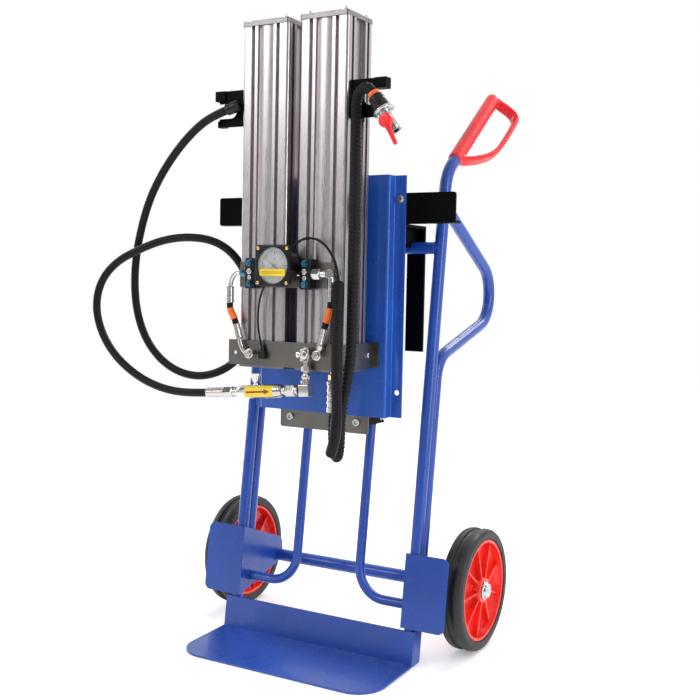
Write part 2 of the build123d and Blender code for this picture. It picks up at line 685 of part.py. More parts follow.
def valve_body():
    x, y, z = lever_pivot()
    disc = rod(on_valve(28.5), on_valve(36), 21.0)
    body = fillet(disc.edges(), 3.0) + rod(on_valve(33), on_valve(78), 12.0)
    body += rod((x, y, z), (x, y - 15.0, z), 9.0)
    body -= Pos(x, y, z) * Sphere(10.2)
    body -= rod(on_valve(LEVER_AT), on_valve(26), 5.0)
    body -= rod(on_valve(LEVER_AT + 6.5), on_valve(80), OUTLET_R)
    return body - rod((x, y - 6, z), (x, y - 17, z), 3.55)


def valve_ball():
    """Bored ball with a slot for the stem in the flat on its front."""
    x, y, z = lever_pivot()
    tilt = math.degrees(math.atan2(VALVE_AXIS[0], -VALVE_AXIS[2]))
    ball = Pos(x, y, z) * Rot(0, -tilt, 0) * (Sphere(9.0) - Cylinder(4.0, 24.0))
    ball -= block((x - 5, x + 5), (y - 10, y - 8.2), (z - 5, z + 5))
    return ball - block((x - 10, x + 10), (y - 10, y - 7.4), (z - 1.5, z + 1.5))


def valve_stem():
    x, y, z = lever_pivot()
    tang = block((x - 3, x + 3), (y - 8.5, y - 7.6), (z - 1.3, z + 1.3))
    return rod((x, y - 8.4, z), (x, y - 20, z), 3.5) + tang


def valve_lever():
    x, y, z = lever_pivot()
    near = y - 15.5
    hub = rod((x, near, z), (x, near - 11, z), 13.5)
    hub = fillet(hub.edges(), 3.0)
    swing = math.atan2(VALVE_AXIS[0], -VALVE_AXIS[2]) - math.radians(LEVER_SWING)
    tip = (x + 46 * math.sin(swing), near - 6, z - 46 * math.cos(swing))
    arm = cone((x, near - 6, z), tip, 6.5, 4.0) + Pos(*tip) * Sphere(4.3)
    return hub + arm - rod((x, near + 1, z), (x, near - 4.6, z), 3.52)


# ---------------------------------------------------------------- hoses and cables
SUPPLY_ROUTE = [
    (-187.6, -15.0, 531.04), (-235, -15, 526.9), (-292, -14, 529), (-348, -14, 542), (-402, -14, 567),
    (-450, -14, 603), (-485, -13, 651), (-499, -12, 705), (-486, -7, 758), (-448, 0, 797),
    (-395, 5, 821), (-335, 12, 842), (-276, 22, 850), (-220, 38, 844), (-182, 56, 819),
    (-158, 74, 775), (-147, 86, 716), (-149, 86, 652), (-170, 74, 600), (-208, 58, 568),
    (-260, 48, 554), (-315, 42, 563), (-362, 38, 590), (-400, 36, 633), (-424, 36, 690),
    (-431, 36, 752), (-424, 34, 814), (-406, 30, 873), (-379, 24, 930), (-342, 18, 981),
    (-296, 12, 1028), (-246, 6, 1066), (-200, 2, 1090), (-160, 0, 1100),
]
VALVE_ROUTE = [
    (72, 51, 504), (72, 51, 454), (84, 38, 424), (106, 15, 420), (118, 2, 448), (119, 0, 510),
    (131, 0, 566), (140, 0, 622), (141, 0, 710), (142, 0, 830), (142.6, 0, 920), (142, 0.3, 985),
    (141.3, 0, 1032), (141.2, 0.2, 1060), (141, 0, 1083), (141.1, 0, 1103), (150, -3, 1115.3),
    (164.3, -9, 1119.8), on_valve(-18.3), on_valve(-0.1),
]
CONDUIT_ROUTE = [
    (126, -28, 764), (125, -28, 715), (124, -28, 640), (127, -29, 560), (129, -30, 500),
    (124, -30, 455), (110, -22, 430),
]
CABLE_ROUTE = [
    (9.6, -20, 821), (27, -17, 838), (52, -16, 845), (82, -20, 838), (106, -24, 816), (121, -27, 790),
    (126, -28, 764.5),
]
BLEED_ROUTE = [
    (-37.6, -22, 763.4), (-52, -19, 746), (-64, -15, 715), (-68, -12, 678), (-64, -9, 645), (-58, -8, 623.0),
]


def ferrules():
    """Crimped hose ends: supply hose at the throttle, valve hose at the port and at the valve."""
    direction = Vector(-math.cos(math.radians(THROTTLE_TILT)), 0, -math.sin(math.radians(THROTTLE_TILT)))
    start = Vector(*THROTTLE) + direction * 196.1
    throttle_end = rod(start, start + direction * 43.9, 9.5)
    port = rod((72, 51, CYL_LOW - 0.1), (72, 51, 566), 7.0) + hexagon((72, 51, 580), (72, 51, 568), 19.0)
    port += rod((72, 51, 566.5), (72, 51, 504), 13.5)
    coupling = rod(VALVE_START, on_valve(28.4), 15.0)
    coupling += hexagon(on_valve(14), on_valve(28.4), 30.0)
    plug = rod((-157.5, 0, 1100.7), (-128, 0, 1108), 11.0)
    return group(throttle_end, port, coupling, plug)


# ---------------------------------------------------------------- the assembly
on_cart("right_upright", upright())
on_cart("left_upright", mirrored(upright()))
on_cart("right_bow", bow())
on_cart("left_bow", mirrored(bow()))
on_cart("upper_crossbar", crossbar())
on_cart("inner_tubes", group(inner_tube(), mirrored(inner_tube())))
on_cart("axle_tube", rod((-GUSSET_IN, 0, WHEEL_R), (GUSSET_IN, 0, WHEEL_R), AXLE_TUBE_R, JOURNAL_R + 0.1))
on_cart("stub_axles", group(stub_axle(), mirrored(stub_axle())))
on_cart("right_gusset", gusset())
on_cart("left_gusset", mirrored(gusset()))
on_cart("toe_plate", toe_plate())
on_cart("right_grip", grip())
on_cart("left_grip", mirrored(grip()))
for name, flip in (("right", lambda s: s), ("left", mirrored)):
    on_cart(name + "_tyre", flip(tyre()))
    on_cart(name + "_rim", flip(rim()))
    on_cart(name + "_bush", flip(bush()))
on_cart("hub_caps", group(hub_cap(), mirrored(hub_cap())))

on_module("back_panel", panel())
on_module("hook_bar", hook_bar())
on_module("hooks", group(hook(), mirrored(hook())))
on_module("panel_bolts", group(ear_bolt(-1), ear_bolt(1), strap_screw()))
on_module("lower_bracket", lower_bracket())
on_module("tube_lugs", group(tube_lug(SOCKET_X[1]), mirrored(tube_lug(-SOCKET_X[0]))))
on_module("bracket_bolts", group(*[socket_screw(x) for x in SOCKET_X], lug_bolt(), mirrored(lug_bolt())))
on_module("standoff_blocks", group(*[standoff(x, z) for x in CYL_X for z in (650.0, 900.0)]))
for name, x in zip(("left", "right"), CYL_X):
    on_module(name + "_barrel", barrel(x))
    on_module(name + "_piston", piston(x))
on_module("top_caps", group(*[cap(x, CYL_TOP - TOP_CAP, CYL_TOP) for x in CYL_X]))
on_module("bottom_caps", group(*[cap(x, CYL_LOW, CYL_LOW + LOW_CAP, ROD_SEAT) for x in CYL_X]))
on_module("tie_rods", group(*[tie_rods(x) for x in CYL_X]))
on_module("lower_strap", strap())
on_module("gauge_plate", gauge_plate())
on_module("gauge_body", gauge_body())
on_module("gauge_dial", gauge_dial())
on_module("gauge_lens", gauge_lens())
on_module("gauge_needle", gauge_needle())
on_module("pipe_clamps", group(*[pipe_clamp(x) for x in CLAMP_X]))
on_module("clamp_bolts", group(*[clamp_bolt(x, z) for x in CLAMP_X for z in (PIPE_Z - 20, PIPE_Z + 20)]))
on_module("left_gauge_hose", left_hose())
on_module("right_gauge_hose", right_hose())
on_module("gauge_hose_fittings", gauge_fittings())
on_module("throttle_body", throttle_body())
on_module("throttle_knob", throttle_knob())
on_module("throttle_fittings", throttle_fittings())
on_module("right_hose_bracket", hose_bracket(CYL_X[1] + PROFILE_W / 2, 162.0, 1108.0))
on_module("left_hose_bracket", mirrored(hose_bracket(PROFILE_W / 2 - CYL_X[0], 160.0, 1102.0)))
on_module("valve_body", valve_body())
on_module("valve_ball", valve_ball())
on_module("valve_stem", valve_stem())
on_module("valve_lever", valve_lever())
on_module("supply_hose", cord("supply_hose", SUPPLY_ROUTE, HOSE_R))
on_module("valve_hose", cord("valve_hose", VALVE_ROUTE, VALVE_HOSE_R))
on_module("cable_conduit", cord("cable_conduit", CONDUIT_ROUTE, CONDUIT_R))
gauge_lines = [cord("gauge_cable", CABLE_ROUTE, CABLE_R), cord("bleed_line", BLEED_ROUTE, CABLE_R * 0.8)]
on_module("gauge_cable", group(*gauge_lines))
on_module("hose_ferrules", ferrules())

os.makedirs("parts", exist_ok=True)
for name, solids in nodes.items():
    moved = [Pos(0, -ORIGIN_Y, 0) * solid for solid in solids]
    node = moved[0] if len(moved) == 1 else Compound(moved)
    node.label = name
    export_step(node, f"parts/{name}.step")
    if len(moved) > 1:
        print(name, len(moved), "solids")
print(len(nodes), "nodes written")
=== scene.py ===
"""Looks of the wheeled sprayer cart: painted hand truck, extruded cylinders, gauge, valves and hoses."""
import math
import bmesh
import bpy
from mathutils import Matrix, Vector


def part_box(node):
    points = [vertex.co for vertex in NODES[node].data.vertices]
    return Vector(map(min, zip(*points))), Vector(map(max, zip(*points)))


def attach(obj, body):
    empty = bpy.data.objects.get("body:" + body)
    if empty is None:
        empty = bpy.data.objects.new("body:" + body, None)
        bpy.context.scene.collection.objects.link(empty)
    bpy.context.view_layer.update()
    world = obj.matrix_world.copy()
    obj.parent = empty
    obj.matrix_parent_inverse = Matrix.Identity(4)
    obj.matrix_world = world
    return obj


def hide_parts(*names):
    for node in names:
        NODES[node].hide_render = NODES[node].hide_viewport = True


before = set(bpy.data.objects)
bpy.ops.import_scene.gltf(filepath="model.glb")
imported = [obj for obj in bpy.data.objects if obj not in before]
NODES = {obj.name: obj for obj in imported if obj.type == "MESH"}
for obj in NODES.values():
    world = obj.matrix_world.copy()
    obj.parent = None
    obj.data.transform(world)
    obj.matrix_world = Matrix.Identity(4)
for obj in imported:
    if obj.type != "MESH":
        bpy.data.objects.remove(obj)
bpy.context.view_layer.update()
MM = 0.001


# ---------------------------------------------------------------- places
def middle(node):
    low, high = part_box(node)
    return (Vector(low) + Vector(high)) / 2


AXLE = middle("axle_tube")
WHEEL_X = abs(middle("right_tyre").x)
WHEEL_RADIUS = 125.0
MODULE_LEAN = math.radians(2.27)
MODULE_TURNS_AT = 0.7
MODULE_BEFORE_AXLE = 0.2429
CART_LEAN = math.radians(9.49)
LEAN_TAN = math.tan(CART_LEAN)
MODULE = (Matrix.Translation((0, AXLE.y - MODULE_BEFORE_AXLE, MODULE_TURNS_AT))
          @ Matrix.Rotation(-MODULE_LEAN, 4, "X") @ Matrix.Translation((0, 0, -MODULE_TURNS_AT)))
CART = Matrix.Translation((0, AXLE.y, 0))
THROTTLE = MODULE @ Matrix.Translation((0.052, -0.015, 0.552)) @ Matrix.Rotation(math.radians(-5), 4, "Y")
VALVE_START = Vector((189.0, -15.0, 1100.0))
VALVE_AXIS = Vector((0.574, 0.0, -0.819))
LEVER_AT = 58.0
LEVER_SWING = math.radians(8.0)
GAUGE = Vector((-11.5, -47.0, 790.0))
PIPE_Z = 775.0
FIT_Y = -12.0
CLAMP_X = (-81.0, 47.0)


# ---------------------------------------------------------------- camera and light
def make_camera():
    data = bpy.data.cameras.new("photo_camera")
    data.lens = 53.75
    data.sensor_width = 36.0
    data.clip_start = 0.05
    camera = bpy.data.objects.new("photo_camera", data)
    camera.location = (1.12421, -1.69974, 0.82479)
    camera.rotation_euler = (math.radians(90 - 5.563), 0, math.radians(30.118))
    bpy.context.scene.collection.objects.link(camera)
    bpy.context.scene.camera = camera


def area_light(name, place, target, size, power, colour=(1, 1, 1)):
    data = bpy.data.lights.new(name, "AREA")
    data.shape = "RECTANGLE"
    data.size, data.size_y = size
    data.energy = power
    data.color = colour
    light = bpy.data.objects.new(name, data)
    light.location = place
    aim = Vector(target) - Vector(place)
    light.rotation_euler = aim.to_track_quat("-Z", "Y").to_euler()
    bpy.context.scene.collection.objects.link(light)


def make_studio():
    """White sweep with a darker side of the room in front, so that metal has something to reflect."""
    world = bpy.data.worlds.new("studio")
    world.use_nodes = True
    tree = world.node_tree
    background = tree.nodes["Background"]
    direction = tree.nodes.new("ShaderNodeTexCoord").outputs["Generated"]
    parts = tree.nodes.new("ShaderNodeSeparateXYZ")
    tree.links.new(direction, parts.inputs["Vector"])
    facing = tree.nodes.new("ShaderNodeMapRange")
    facing.inputs["From Min"].default_value = -0.25
    facing.inputs["From Max"].default_value = 0.35
    tree.links.new(parts.outputs["Y"], facing.inputs["Value"])
    stripes = tree.nodes.new("ShaderNodeTexNoise")
    stripes.inputs["Scale"].default_value = 2.6
    stripes.inputs["Detail"].default_value = 1.0
    squash = tree.nodes.new("ShaderNodeMapping")
    squash.inputs["Scale"].default_value = (1.6, 1.6, 0.25)
    tree.links.new(direction, squash.inputs["Vector"])
    tree.links.new(squash.outputs["Vector"], stripes.inputs["Vector"])
    tones = tree.nodes.new("ShaderNodeValToRGB")
    tones.color_ramp.elements[0].position = 0.42
    tones.color_ramp.elements[0].color = (0.05, 0.05, 0.055, 1)
    tones.color_ramp.elements[1].position = 0.60
    tones.color_ramp.elements[1].color = (0.9, 0.89, 0.9, 1)
    tree.links.new(stripes.outputs["Fac"], tones.inputs["Fac"])
    mix = tree.nodes.new("ShaderNodeMix")
    mix.data_type = "RGBA"
    colours = [socket for socket in mix.inputs if socket.type == "RGBA"]
    colours[1].default_value = (1, 1, 1, 1)
    tree.links.new(tones.outputs["Color"], colours[0])
    plain = tree.nodes.new("ShaderNodeMath")
    plain.operation = "MAXIMUM"
    tree.links.new(facing.outputs["Result"], plain.inputs[0])
    tree.links.new(tree.nodes.new("ShaderNodeLightPath").outputs["Is Camera Ray"], plain.inputs[1])
    tree.links.new(plain.outputs["Value"], mix.inputs["Factor"])
    result = [socket for socket in mix.outputs if socket.type == "RGBA"][0]
    tree.links.new(result, background.inputs["Color"])
    background.inputs["Strength"].default_value = 1.0
    bpy.context.scene.world = world
    bpy.context.scene.view_settings.view_transform = "Standard"
    target = (0, 0.1, 0.65)
    area_light("key", (-1.6, -2.4, 2.5), target, (1.6, 1.6), 34)
    area_light("side_strip", (2.6, -0.6, 1.5), target, (0.4, 2.2), 26)
    area_light("left_strip", (-2.3, 0.4, 1.1), target, (0.4, 2.0), 16)
    area_light("back_top", (0.4, 2.4, 2.6), target, (2.0, 1.0), 40)


# ---------------------------------------------------------------- materials
class Shader:
    """A principled material whose colour, roughness and bump come from small node networks."""

    def __init__(self, name, metallic=0.0, coat=0.0, specular=0.5):
        self.material = bpy.data.materials.new(name)
        self.material.use_nodes = True
        self.tree = self.material.node_tree
        self.bsdf = self.tree.nodes["Principled BSDF"]
        self.bsdf.inputs["Metallic"].default_value = metallic
        self.bsdf.inputs["Coat Weight"].default_value = coat
        self.bsdf.inputs["Coat Roughness"].default_value = 0.12
        self.bsdf.inputs["Specular IOR Level"].default_value = specular
        self.place = self.tree.nodes.new("ShaderNodeTexCoord").outputs["Object"]

    def noise(self, scale, stretch=(1, 1, 1), detail=3.0, roughness=0.5):
        mapping = self.tree.nodes.new("ShaderNodeMapping")
        mapping.inputs["Scale"].default_value = stretch
        self.tree.links.new(self.place, mapping.inputs["Vector"])
        noise = self.tree.nodes.new("ShaderNodeTexNoise")
        noise.inputs["Scale"].default_value = scale
        noise.inputs["Detail"].default_value = detail
        noise.inputs["Roughness"].default_value = roughness
        self.tree.links.new(mapping.outputs["Vector"], noise.inputs["Vector"])
        return noise.outputs["Fac"]

    def ramp(self, source, stops):
        ramp = self.tree.nodes.new("ShaderNodeValToRGB")
        points = ramp.color_ramp.elements
        while len(points) < len(stops):
            points.new(0.5)
        for point, (at, colour) in zip(points, stops):
            point.position = at
            point.color = (*colour, 1)
        self.tree.links.new(source, ramp.inputs["Fac"])
        return ramp.outputs["Color"]

    def colour(self, source, dark, light, low=0.35, high=0.65):
        self.tree.links.new(self.ramp(source, [(low, dark), (high, light)]), self.bsdf.inputs["Base Color"])

    def roughness(self, source, low, high):
        spread = self.tree.nodes.new("ShaderNodeMapRange")
        spread.inputs["From Min"].default_value = 0.3
        spread.inputs["From Max"].default_value = 0.7
        spread.inputs["To Min"].default_value = low
        spread.inputs["To Max"].default_value = high
        self.tree.links.new(source, spread.inputs["Value"])
        self.tree.links.new(spread.outputs["Result"], self.bsdf.inputs["Roughness"])

    def bump(self, source, height, edge=0.0):
        """Surface relief of the given height in metres, over edges rounded by `edge`."""
        bump = self.tree.nodes.new("ShaderNodeBump")
        bump.inputs["Strength"].default_value = 1.0
        bump.inputs["Distance"].default_value = height
        self.tree.links.new(source, bump.inputs["Height"])
        if edge:
            bevel = self.tree.nodes.new("ShaderNodeBevel")
            bevel.samples = 4
            bevel.inputs["Radius"].default_value = edge
            self.tree.links.new(bevel.outputs["Normal"], bump.inputs["Normal"])
        self.tree.links.new(bump.outputs["Normal"], self.bsdf.inputs["Normal"])


def scaled(colour, factor):
    return tuple(min(1.0, channel * factor) for channel in colour)


def paint(name, colour, rough=0.3, coat=0.25, edge=0.0012, specular=0.5):
    """Powder coat: orange peel, slow drift of tone and slightly uneven gloss."""
    shader = Shader(name, coat=coat, specular=specular)
    shader.colour(shader.noise(5, detail=4), scaled(colour, 0.86), scaled(colour, 1.12))
    shader.roughness(shader.noise(38, detail=5), rough - 0.06, rough + 0.1)
    shader.bump(shader.noise(420, detail=2), 0.00012, edge)
    return shader.material


def metal(name, colour, rough, stretch=(1, 1, 1), grain=500, depth=0.00005, edge=0.0006, drift=0.1):
    """Bare or plated metal; `stretch` draws the grain out along an axis."""
    shader = Shader(name, metallic=1.0)
    grain_noise = shader.noise(grain, stretch, detail=4, roughness=0.6)
    shader.colour(shader.noise(14, detail=5), scaled(colour, 1 - drift), scaled(colour, 1 + drift))
    shader.roughness(grain_noise, rough * 0.75, rough * 1.35)
    shader.bump(grain_noise, depth, edge)
    return shader.material


def plastic(name, colour, rough=0.35, grain=700, depth=0.00006, coat=0.0, edge=0.0008, specular=0.5):
    shader = Shader(name, coat=coat, specular=specular)
    shader.colour(shader.noise(16, detail=4), scaled(colour, 0.85), scaled(colour, 1.12))
    shader.roughness(shader.noise(60, detail=4), rough - 0.07, rough + 0.1)
    shader.bump(shader.noise(grain, detail=3), depth, edge)
    return shader.material


def glass(name):
    shader = Shader(name, coat=0.0, specular=0.25)
    shader.colour(shader.noise(30), (0.93, 0.95, 0.96), (1, 1, 1))
    shader.roughness(shader.noise(50, detail=4), 0.02, 0.09)
    shader.bsdf.inputs["Alpha"].default_value = 0.12
    return shader.material


BLUE = (0.008, 0.060, 0.36)
RED = (0.80, 0.008, 0.014)
MATERIALS = {
    "blue": paint("blue_powder_coat", BLUE),
    "panel": paint("panel_powder_coat", (0.009, 0.078, 0.40)),
    "black_coat": paint("black_powder_coat", (0.002, 0.002, 0.0023), rough=0.42, coat=0.0, specular=0.05),
    "aluminium": metal("anodised_extrusion", (0.48, 0.45, 0.465), 0.30,
                       (1, 1, 0.004), 900, 0.000012, drift=0.03),
    "cap": metal("machined_aluminium", (0.24, 0.225, 0.235), 0.36, (1, 0.02, 1), 700),
    "stainless": metal("brushed_stainless", (0.17, 0.16, 0.15), 0.34, (0.006, 1, 1), 900, 0.00004),
    "zinc": metal("zinc_plate", (0.55, 0.57, 0.57), 0.2),
    "blue_zinc": metal("blue_passivated_zinc", (0.07, 0.22, 0.32), 0.2, drift=0.5),
    "chrome": metal("nickel_fitting", (0.62, 0.60, 0.57), 0.15, drift=0.12),
    "brass": metal("brass_fitting", (0.78, 0.53, 0.22), 0.2),
    "axle": metal("turned_axle", (0.55, 0.55, 0.54), 0.3, (0.01, 1, 1), 800),
    "hose": plastic("rubber_hose", (0.006, 0.006, 0.007), 0.42, 260, 0.00018, specular=0.18),
    "wrap": plastic("spiral_guard", (0.005, 0.005, 0.007), 0.45, 300, 0.00008, specular=0.18),
    "cable": plastic("cable_jacket", (0.006, 0.006, 0.007), 0.4, 500, 0.00008, specular=0.18),
    "tyre": plastic("solid_tyre", (0.014, 0.014, 0.015), 0.5, 240, 0.0002),
    "grip": plastic("red_grip", RED, 0.33, 520, 0.00008, coat=0.1),
    "rim": plastic("red_rim", (0.83, 0.022, 0.012), 0.28, 420, 0.00008, coat=0.2),
    "lever": plastic("red_lever", (0.78, 0.012, 0.016), 0.3, 420, 0.00006, coat=0.1),
    "bush": plastic("white_bush", (0.72, 0.71, 0.66), 0.4),
    "black": plastic("black_plastic", (0.005, 0.005, 0.006), 0.3, 620, 0.00007, specular=0.35),
    "dial": plastic("dial_face", (0.42, 0.44, 0.43), 0.45, 900, 0.00002, edge=0.0),
    "ink": plastic("dial_ink", (0.02, 0.02, 0.025), 0.5, 900, 0.00002, edge=0.0),
    "yellow": plastic("yellow_label", (0.85, 0.62, 0.02), 0.35, 800, 0.00003, edge=0.0),
    "arrow": plastic("arrow_print", (0.30, 0.035, 0.01), 0.4, 800, 0.00003, edge=0.0),
    "orange": plastic("orange_sleeve", (0.95, 0.16, 0.02), 0.4, 500, 0.0001),
    "lens": glass("gauge_glass"),
}

CARRIED = {
    "blue": ("left_upright right_upright left_bow right_bow upper_crossbar inner_tubes axle_tube "
             "left_gusset right_gusset toe_plate back_panel"),
    "black_coat": "hook_bar hooks left_hose_bracket right_hose_bracket tube_lugs",
    "aluminium": "left_barrel right_barrel",
    "cap": "top_caps bottom_caps standoff_blocks left_piston right_piston",
    "stainless": "lower_bracket lower_strap gauge_plate",
    "zinc": "hub_caps panel_bolts bracket_bolts tie_rods",
    "axle": "stub_axles",
    "blue_zinc": "clamp_bolts",
    "chrome": "gauge_hose_fittings throttle_body throttle_fittings throttle_knob hose_ferrules valve_body",
    "brass": "valve_ball valve_stem",
    "tyre": "left_tyre right_tyre",
    "rim": "left_rim right_rim",
    "grip": "left_grip right_grip",
    "bush": "left_bush right_bush",
    "black": "gauge_body pipe_clamps",
    "dial": "gauge_dial",
    "ink": "gauge_needle",
    "lens": "gauge_lens",
    "lever": "valve_lever",
    "hose": "supply_hose left_gauge_hose right_gauge_hose",
    "wrap": "valve_hose cable_conduit",
    "cable": "gauge_cable",
}


def dress_carried_nodes():
    for key, names in CARRIED.items():
        for name in names.split():
            NODES[name].data.materials.clear()
            NODES[name].data.materials.append(MATERIALS[key])


# ---------------------------------------------------------------- mesh helpers
def add_object(name, bm, material, matrix, body="cart", smooth=True, bevel=0.0, subdivide=0):
    """Turn a bmesh built in millimetres into a riding object placed by `matrix`."""
    bmesh.ops.recalc_face_normals(bm, faces=bm.faces)
    mesh = bpy.data.meshes.new(name)
    bm.to_mesh(mesh)
    bm.free()
    mesh.transform(matrix @ Matrix.Scale(MM, 4))
    if matrix.determinant() < 0:
        mesh.flip_normals()
    piece = bpy.data.objects.new(name, mesh)
    bpy.context.scene.collection.objects.link(piece)
    mesh.materials.append(MATERIALS[material])
    if bevel:
        rounding = piece.modifiers.new("rounding", "BEVEL")
        rounding.width = bevel * MM
        rounding.segments = 3
        rounding.limit_method = "ANGLE"
        rounding.angle_limit = math.radians(35)
    if subdivide:
        piece.modifiers.new("subdivision", "SUBSURF").levels = subdivide
        piece.modifiers["subdivision"].render_levels = subdivide
    if smooth:
        for face in mesh.polygons:
            face.use_smooth = True
        mesh.set_sharp_from_angle(angle=math.radians(38))
    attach(piece, body)
    return piece


def frame_along(direction, hint=Vector((0, 0, 1))):
    """Axes with Z along `direction`."""
    z = Vector(direction).normalized()
    x = hint.cross(z)
    if x.length < 0.05:
        x = Vector((1, 0, 0)).cross(z)
    x.normalize()
    return Matrix((x, z.cross(x), z)).transposed().to_4x4()


def placed(origin, direction, hint=Vector((0, 0, 1))):
    return Matrix.Translation(origin) @ frame_along(direction, hint)


def lathe_into(bm, profile, matrix, segments=48):
    """Revolve (along, radius) points about the matrix's Z axis; zero radius closes an end."""
    rings = []
    for along, radius in profile:
        if radius < 1e-6:
            rings.append([bm.verts.new(matrix @ Vector((0, 0, along)))])
            continue
        turns = [2 * math.pi * k / segments for k in range(segments)]
        rings.append([bm.verts.new(matrix @ Vector((radius * math.cos(t), radius * math.sin(t), along)))
                      for t in turns])
    for a, b in zip(rings, rings[1:]):
        for k in range(segments):
            corners = [a[k % len(a)], a[(k + 1) % len(a)], b[(k + 1) % len(b)], b[k % len(b)]]
            unique = list(dict.fromkeys(corners))
            if len(unique) > 2:
                bm.faces.new(unique)


def prism_into(bm, outline, low, high, matrix):
    """Extrude an (x, y) outline along the matrix's Z axis."""
    bottom = [bm.verts.new(matrix @ Vector((x, y, low))) for x, y in outline]
    top = [bm.verts.new(matrix @ Vector((x, y, high))) for x, y in outline]
    bm.faces.new(bottom)
    bm.faces.new(top)
    count = len(outline)
    for k in range(count):
        bm.faces.new([bottom[k], bottom[(k + 1) % count], top[(k + 1) % count], top[k]])


def polygon(radius, sides, turn=0.0):
    return [(radius * math.cos(turn + 2 * math.pi * k / sides),
             radius * math.sin(turn + 2 * math.pi * k / sides)) for k in range(sides)]


def rounded_rectangle(width, height, radius, steps=5, centre=(0, 0)):
    points = []
    for quarter, (sx, sy) in enumerate(((1, 1), (-1, 1), (-1, -1), (1, -1))):
        cx, cy = sx * (width / 2 - radius), sy * (height / 2 - radius)
        for k in range(steps + 1):
            angle = math.pi / 2 * (quarter + k / steps)
            points.append((centre[0] + cx + radius * math.cos(angle),
                           centre[1] + cy + radius * math.sin(angle)))
    return points


def hex_into(bm, start, end, flats, matrix=Matrix(), chamfer=0.8):
    """Hexagon nut or head between two points, with turned-down ends."""
    axis = Vector(end) - Vector(start)
    place = matrix @ placed(start, axis)
    radius = flats / math.sqrt(3)
    outline = polygon(radius, 6)
    small = polygon(radius - chamfer * 1.4, 6)
    rings = [(0, small), (chamfer, outline), (axis.length - chamfer, outline), (axis.length, small)]
    loops = [[bm.verts.new(place @ Vector((x, y, z))) for x, y in ring] for z, ring in rings]
    bm.faces.new(loops[0])
    bm.faces.new(loops[-1])
    for a, b in zip(loops, loops[1:]):
        for k in range(6):
            bm.faces.new([a[k], a[(k + 1) % 6], b[(k + 1) % 6], b[k]])


def rod_into(bm, start, end, radius, matrix=Matrix(), round_off=0.6, segments=32):
    axis = Vector(end) - Vector(start)
    length = axis.length
    r = round_off
    profile = [(0, 0), (0, radius - r), (r, radius), (length - r, radius), (length, radius - r), (length, 0)]
    lathe_into(bm, profile, matrix @ placed(start, axis), segments)


def turned_into(bm, start, direction, profile, matrix=Matrix(), segments=40):
    lathe_into(bm, profile, matrix @ placed(start, direction), segments)


def path_frames(points):
    """Turning-free frames along a path, one per point."""
    frames = []
    tangent = (points[1] - points[0]).normalized()
    side = tangent.orthogonal().normalized()
    for k, point in enumerate(points):
        ahead = points[min(k + 1, len(points) - 1)] - points[max(k - 1, 0)]
        tangent = ahead.normalized()
        side = (side - tangent * side.dot(tangent)).normalized()
        frames.append((point, side, tangent.cross(side)))
    return frames


def tube_into(bm, points, radius_at, segments=20):
    """Closed tube along a path; radius_at(distance, angle) shapes its surface."""
    rings = []
    distance = 0.0
    for k, (point, side, up) in enumerate(path_frames(points)):
        if k:
            distance += (points[k] - points[k - 1]).length
        ring = []
        for j in range(segments):
            angle = 2 * math.pi * j / segments
            radius = radius_at(distance, angle)
            ring.append(bm.verts.new(point + side * radius * math.cos(angle) + up * radius * math.sin(angle)))
        rings.append(ring)
    for a, b in zip(rings, rings[1:]):
        for j in range(segments):
            bm.faces.new([a[j], a[(j + 1) % segments], b[(j + 1) % segments], b[j]])
    bm.faces.new(rings[0])
    bm.faces.new(rings[-1])


def resampled(points, step):
    """Points at even distances along a polyline."""
    result = [points[0].copy()]
    left = step
    for a, b in zip(points, points[1:]):
        run = (b - a).length
        at = left
        while at < run:
            result.append(a.lerp(b, at / run))
            at += step
        left = at - run
    if (result[-1] - points[-1]).length < 0.3 * step:
        result.pop()
    result.append(points[-1].copy())
    return result


def smooth_path(points, rounds=3):
    """Corner cutting that keeps both ends."""
    for _ in range(rounds):
        cut = [points[0]]
        for a, b in zip(points, points[1:]):
            cut += [a.lerp(b, 0.25), a.lerp(b, 0.75)]
        points = cut + [points[-1]]
    return points


# ---------------------------------------------------------------- hoses and cables
SUPPLY_ROUTE = [
    (-187.6, -15.0, 531.04), (-235, -15, 526.9), (-292, -14, 529), (-348, -14, 542), (-402, -14, 567),
    (-450, -14, 603), (-485, -13, 651), (-499, -12, 705), (-486, -7, 758), (-448, 0, 797),
    (-395, 5, 821), (-335, 12, 842), (-276, 22, 850), (-220, 38, 844), (-182, 56, 819),
    (-158, 74, 775), (-147, 86, 716), (-149, 86, 652), (-170, 74, 600), (-208, 58, 568),
    (-260, 48, 554), (-315, 42, 563), (-362, 38, 590), (-400, 36, 633), (-424, 36, 690),
    (-431, 36, 752), (-424, 34, 814), (-406, 30, 873), (-379, 24, 930), (-342, 18, 981),
    (-296, 12, 1028), (-246, 6, 1066), (-200, 2, 1090), (-160, 0, 1100),
]
VALVE_ROUTE = [
    (72, 51, 504), (72, 51, 454), (84, 38, 424), (106, 15, 420), (118, 2, 448), (119, 0, 510),
    (131, 0, 566), (140, 0, 622), (141, 0, 710), (142, 0, 830), (142.6, 0, 920), (142, 0.3, 985),
    (141.3, 0, 1032), (141.2, 0.2, 1060), (141, 0, 1083), (141.1, 0, 1103), (150, -3, 1115.3),
    (164.3, -9, 1119.8), (178.5, -15, 1115.0), (188.9, -15, 1100.1),
]
CONDUIT_ROUTE = [
    (126, -28, 764), (125, -28, 715), (124, -28, 640), (127, -29, 560), (129, -30, 500),
    (124, -30, 455), (110, -22, 430),
]
CABLE_ROUTE = [
    (9.6, -20, 821), (27, -17, 838), (52, -16, 845), (82, -20, 838), (106, -24, 816), (121, -27, 790),
    (126, -28, 764.5),
]
BLEED_ROUTE = [
    (-37.6, -22, 763.4), (-52, -19, 746), (-64, -15, 715), (-68, -12, 678), (-64, -9, 645), (-58, -8, 623.0),
]


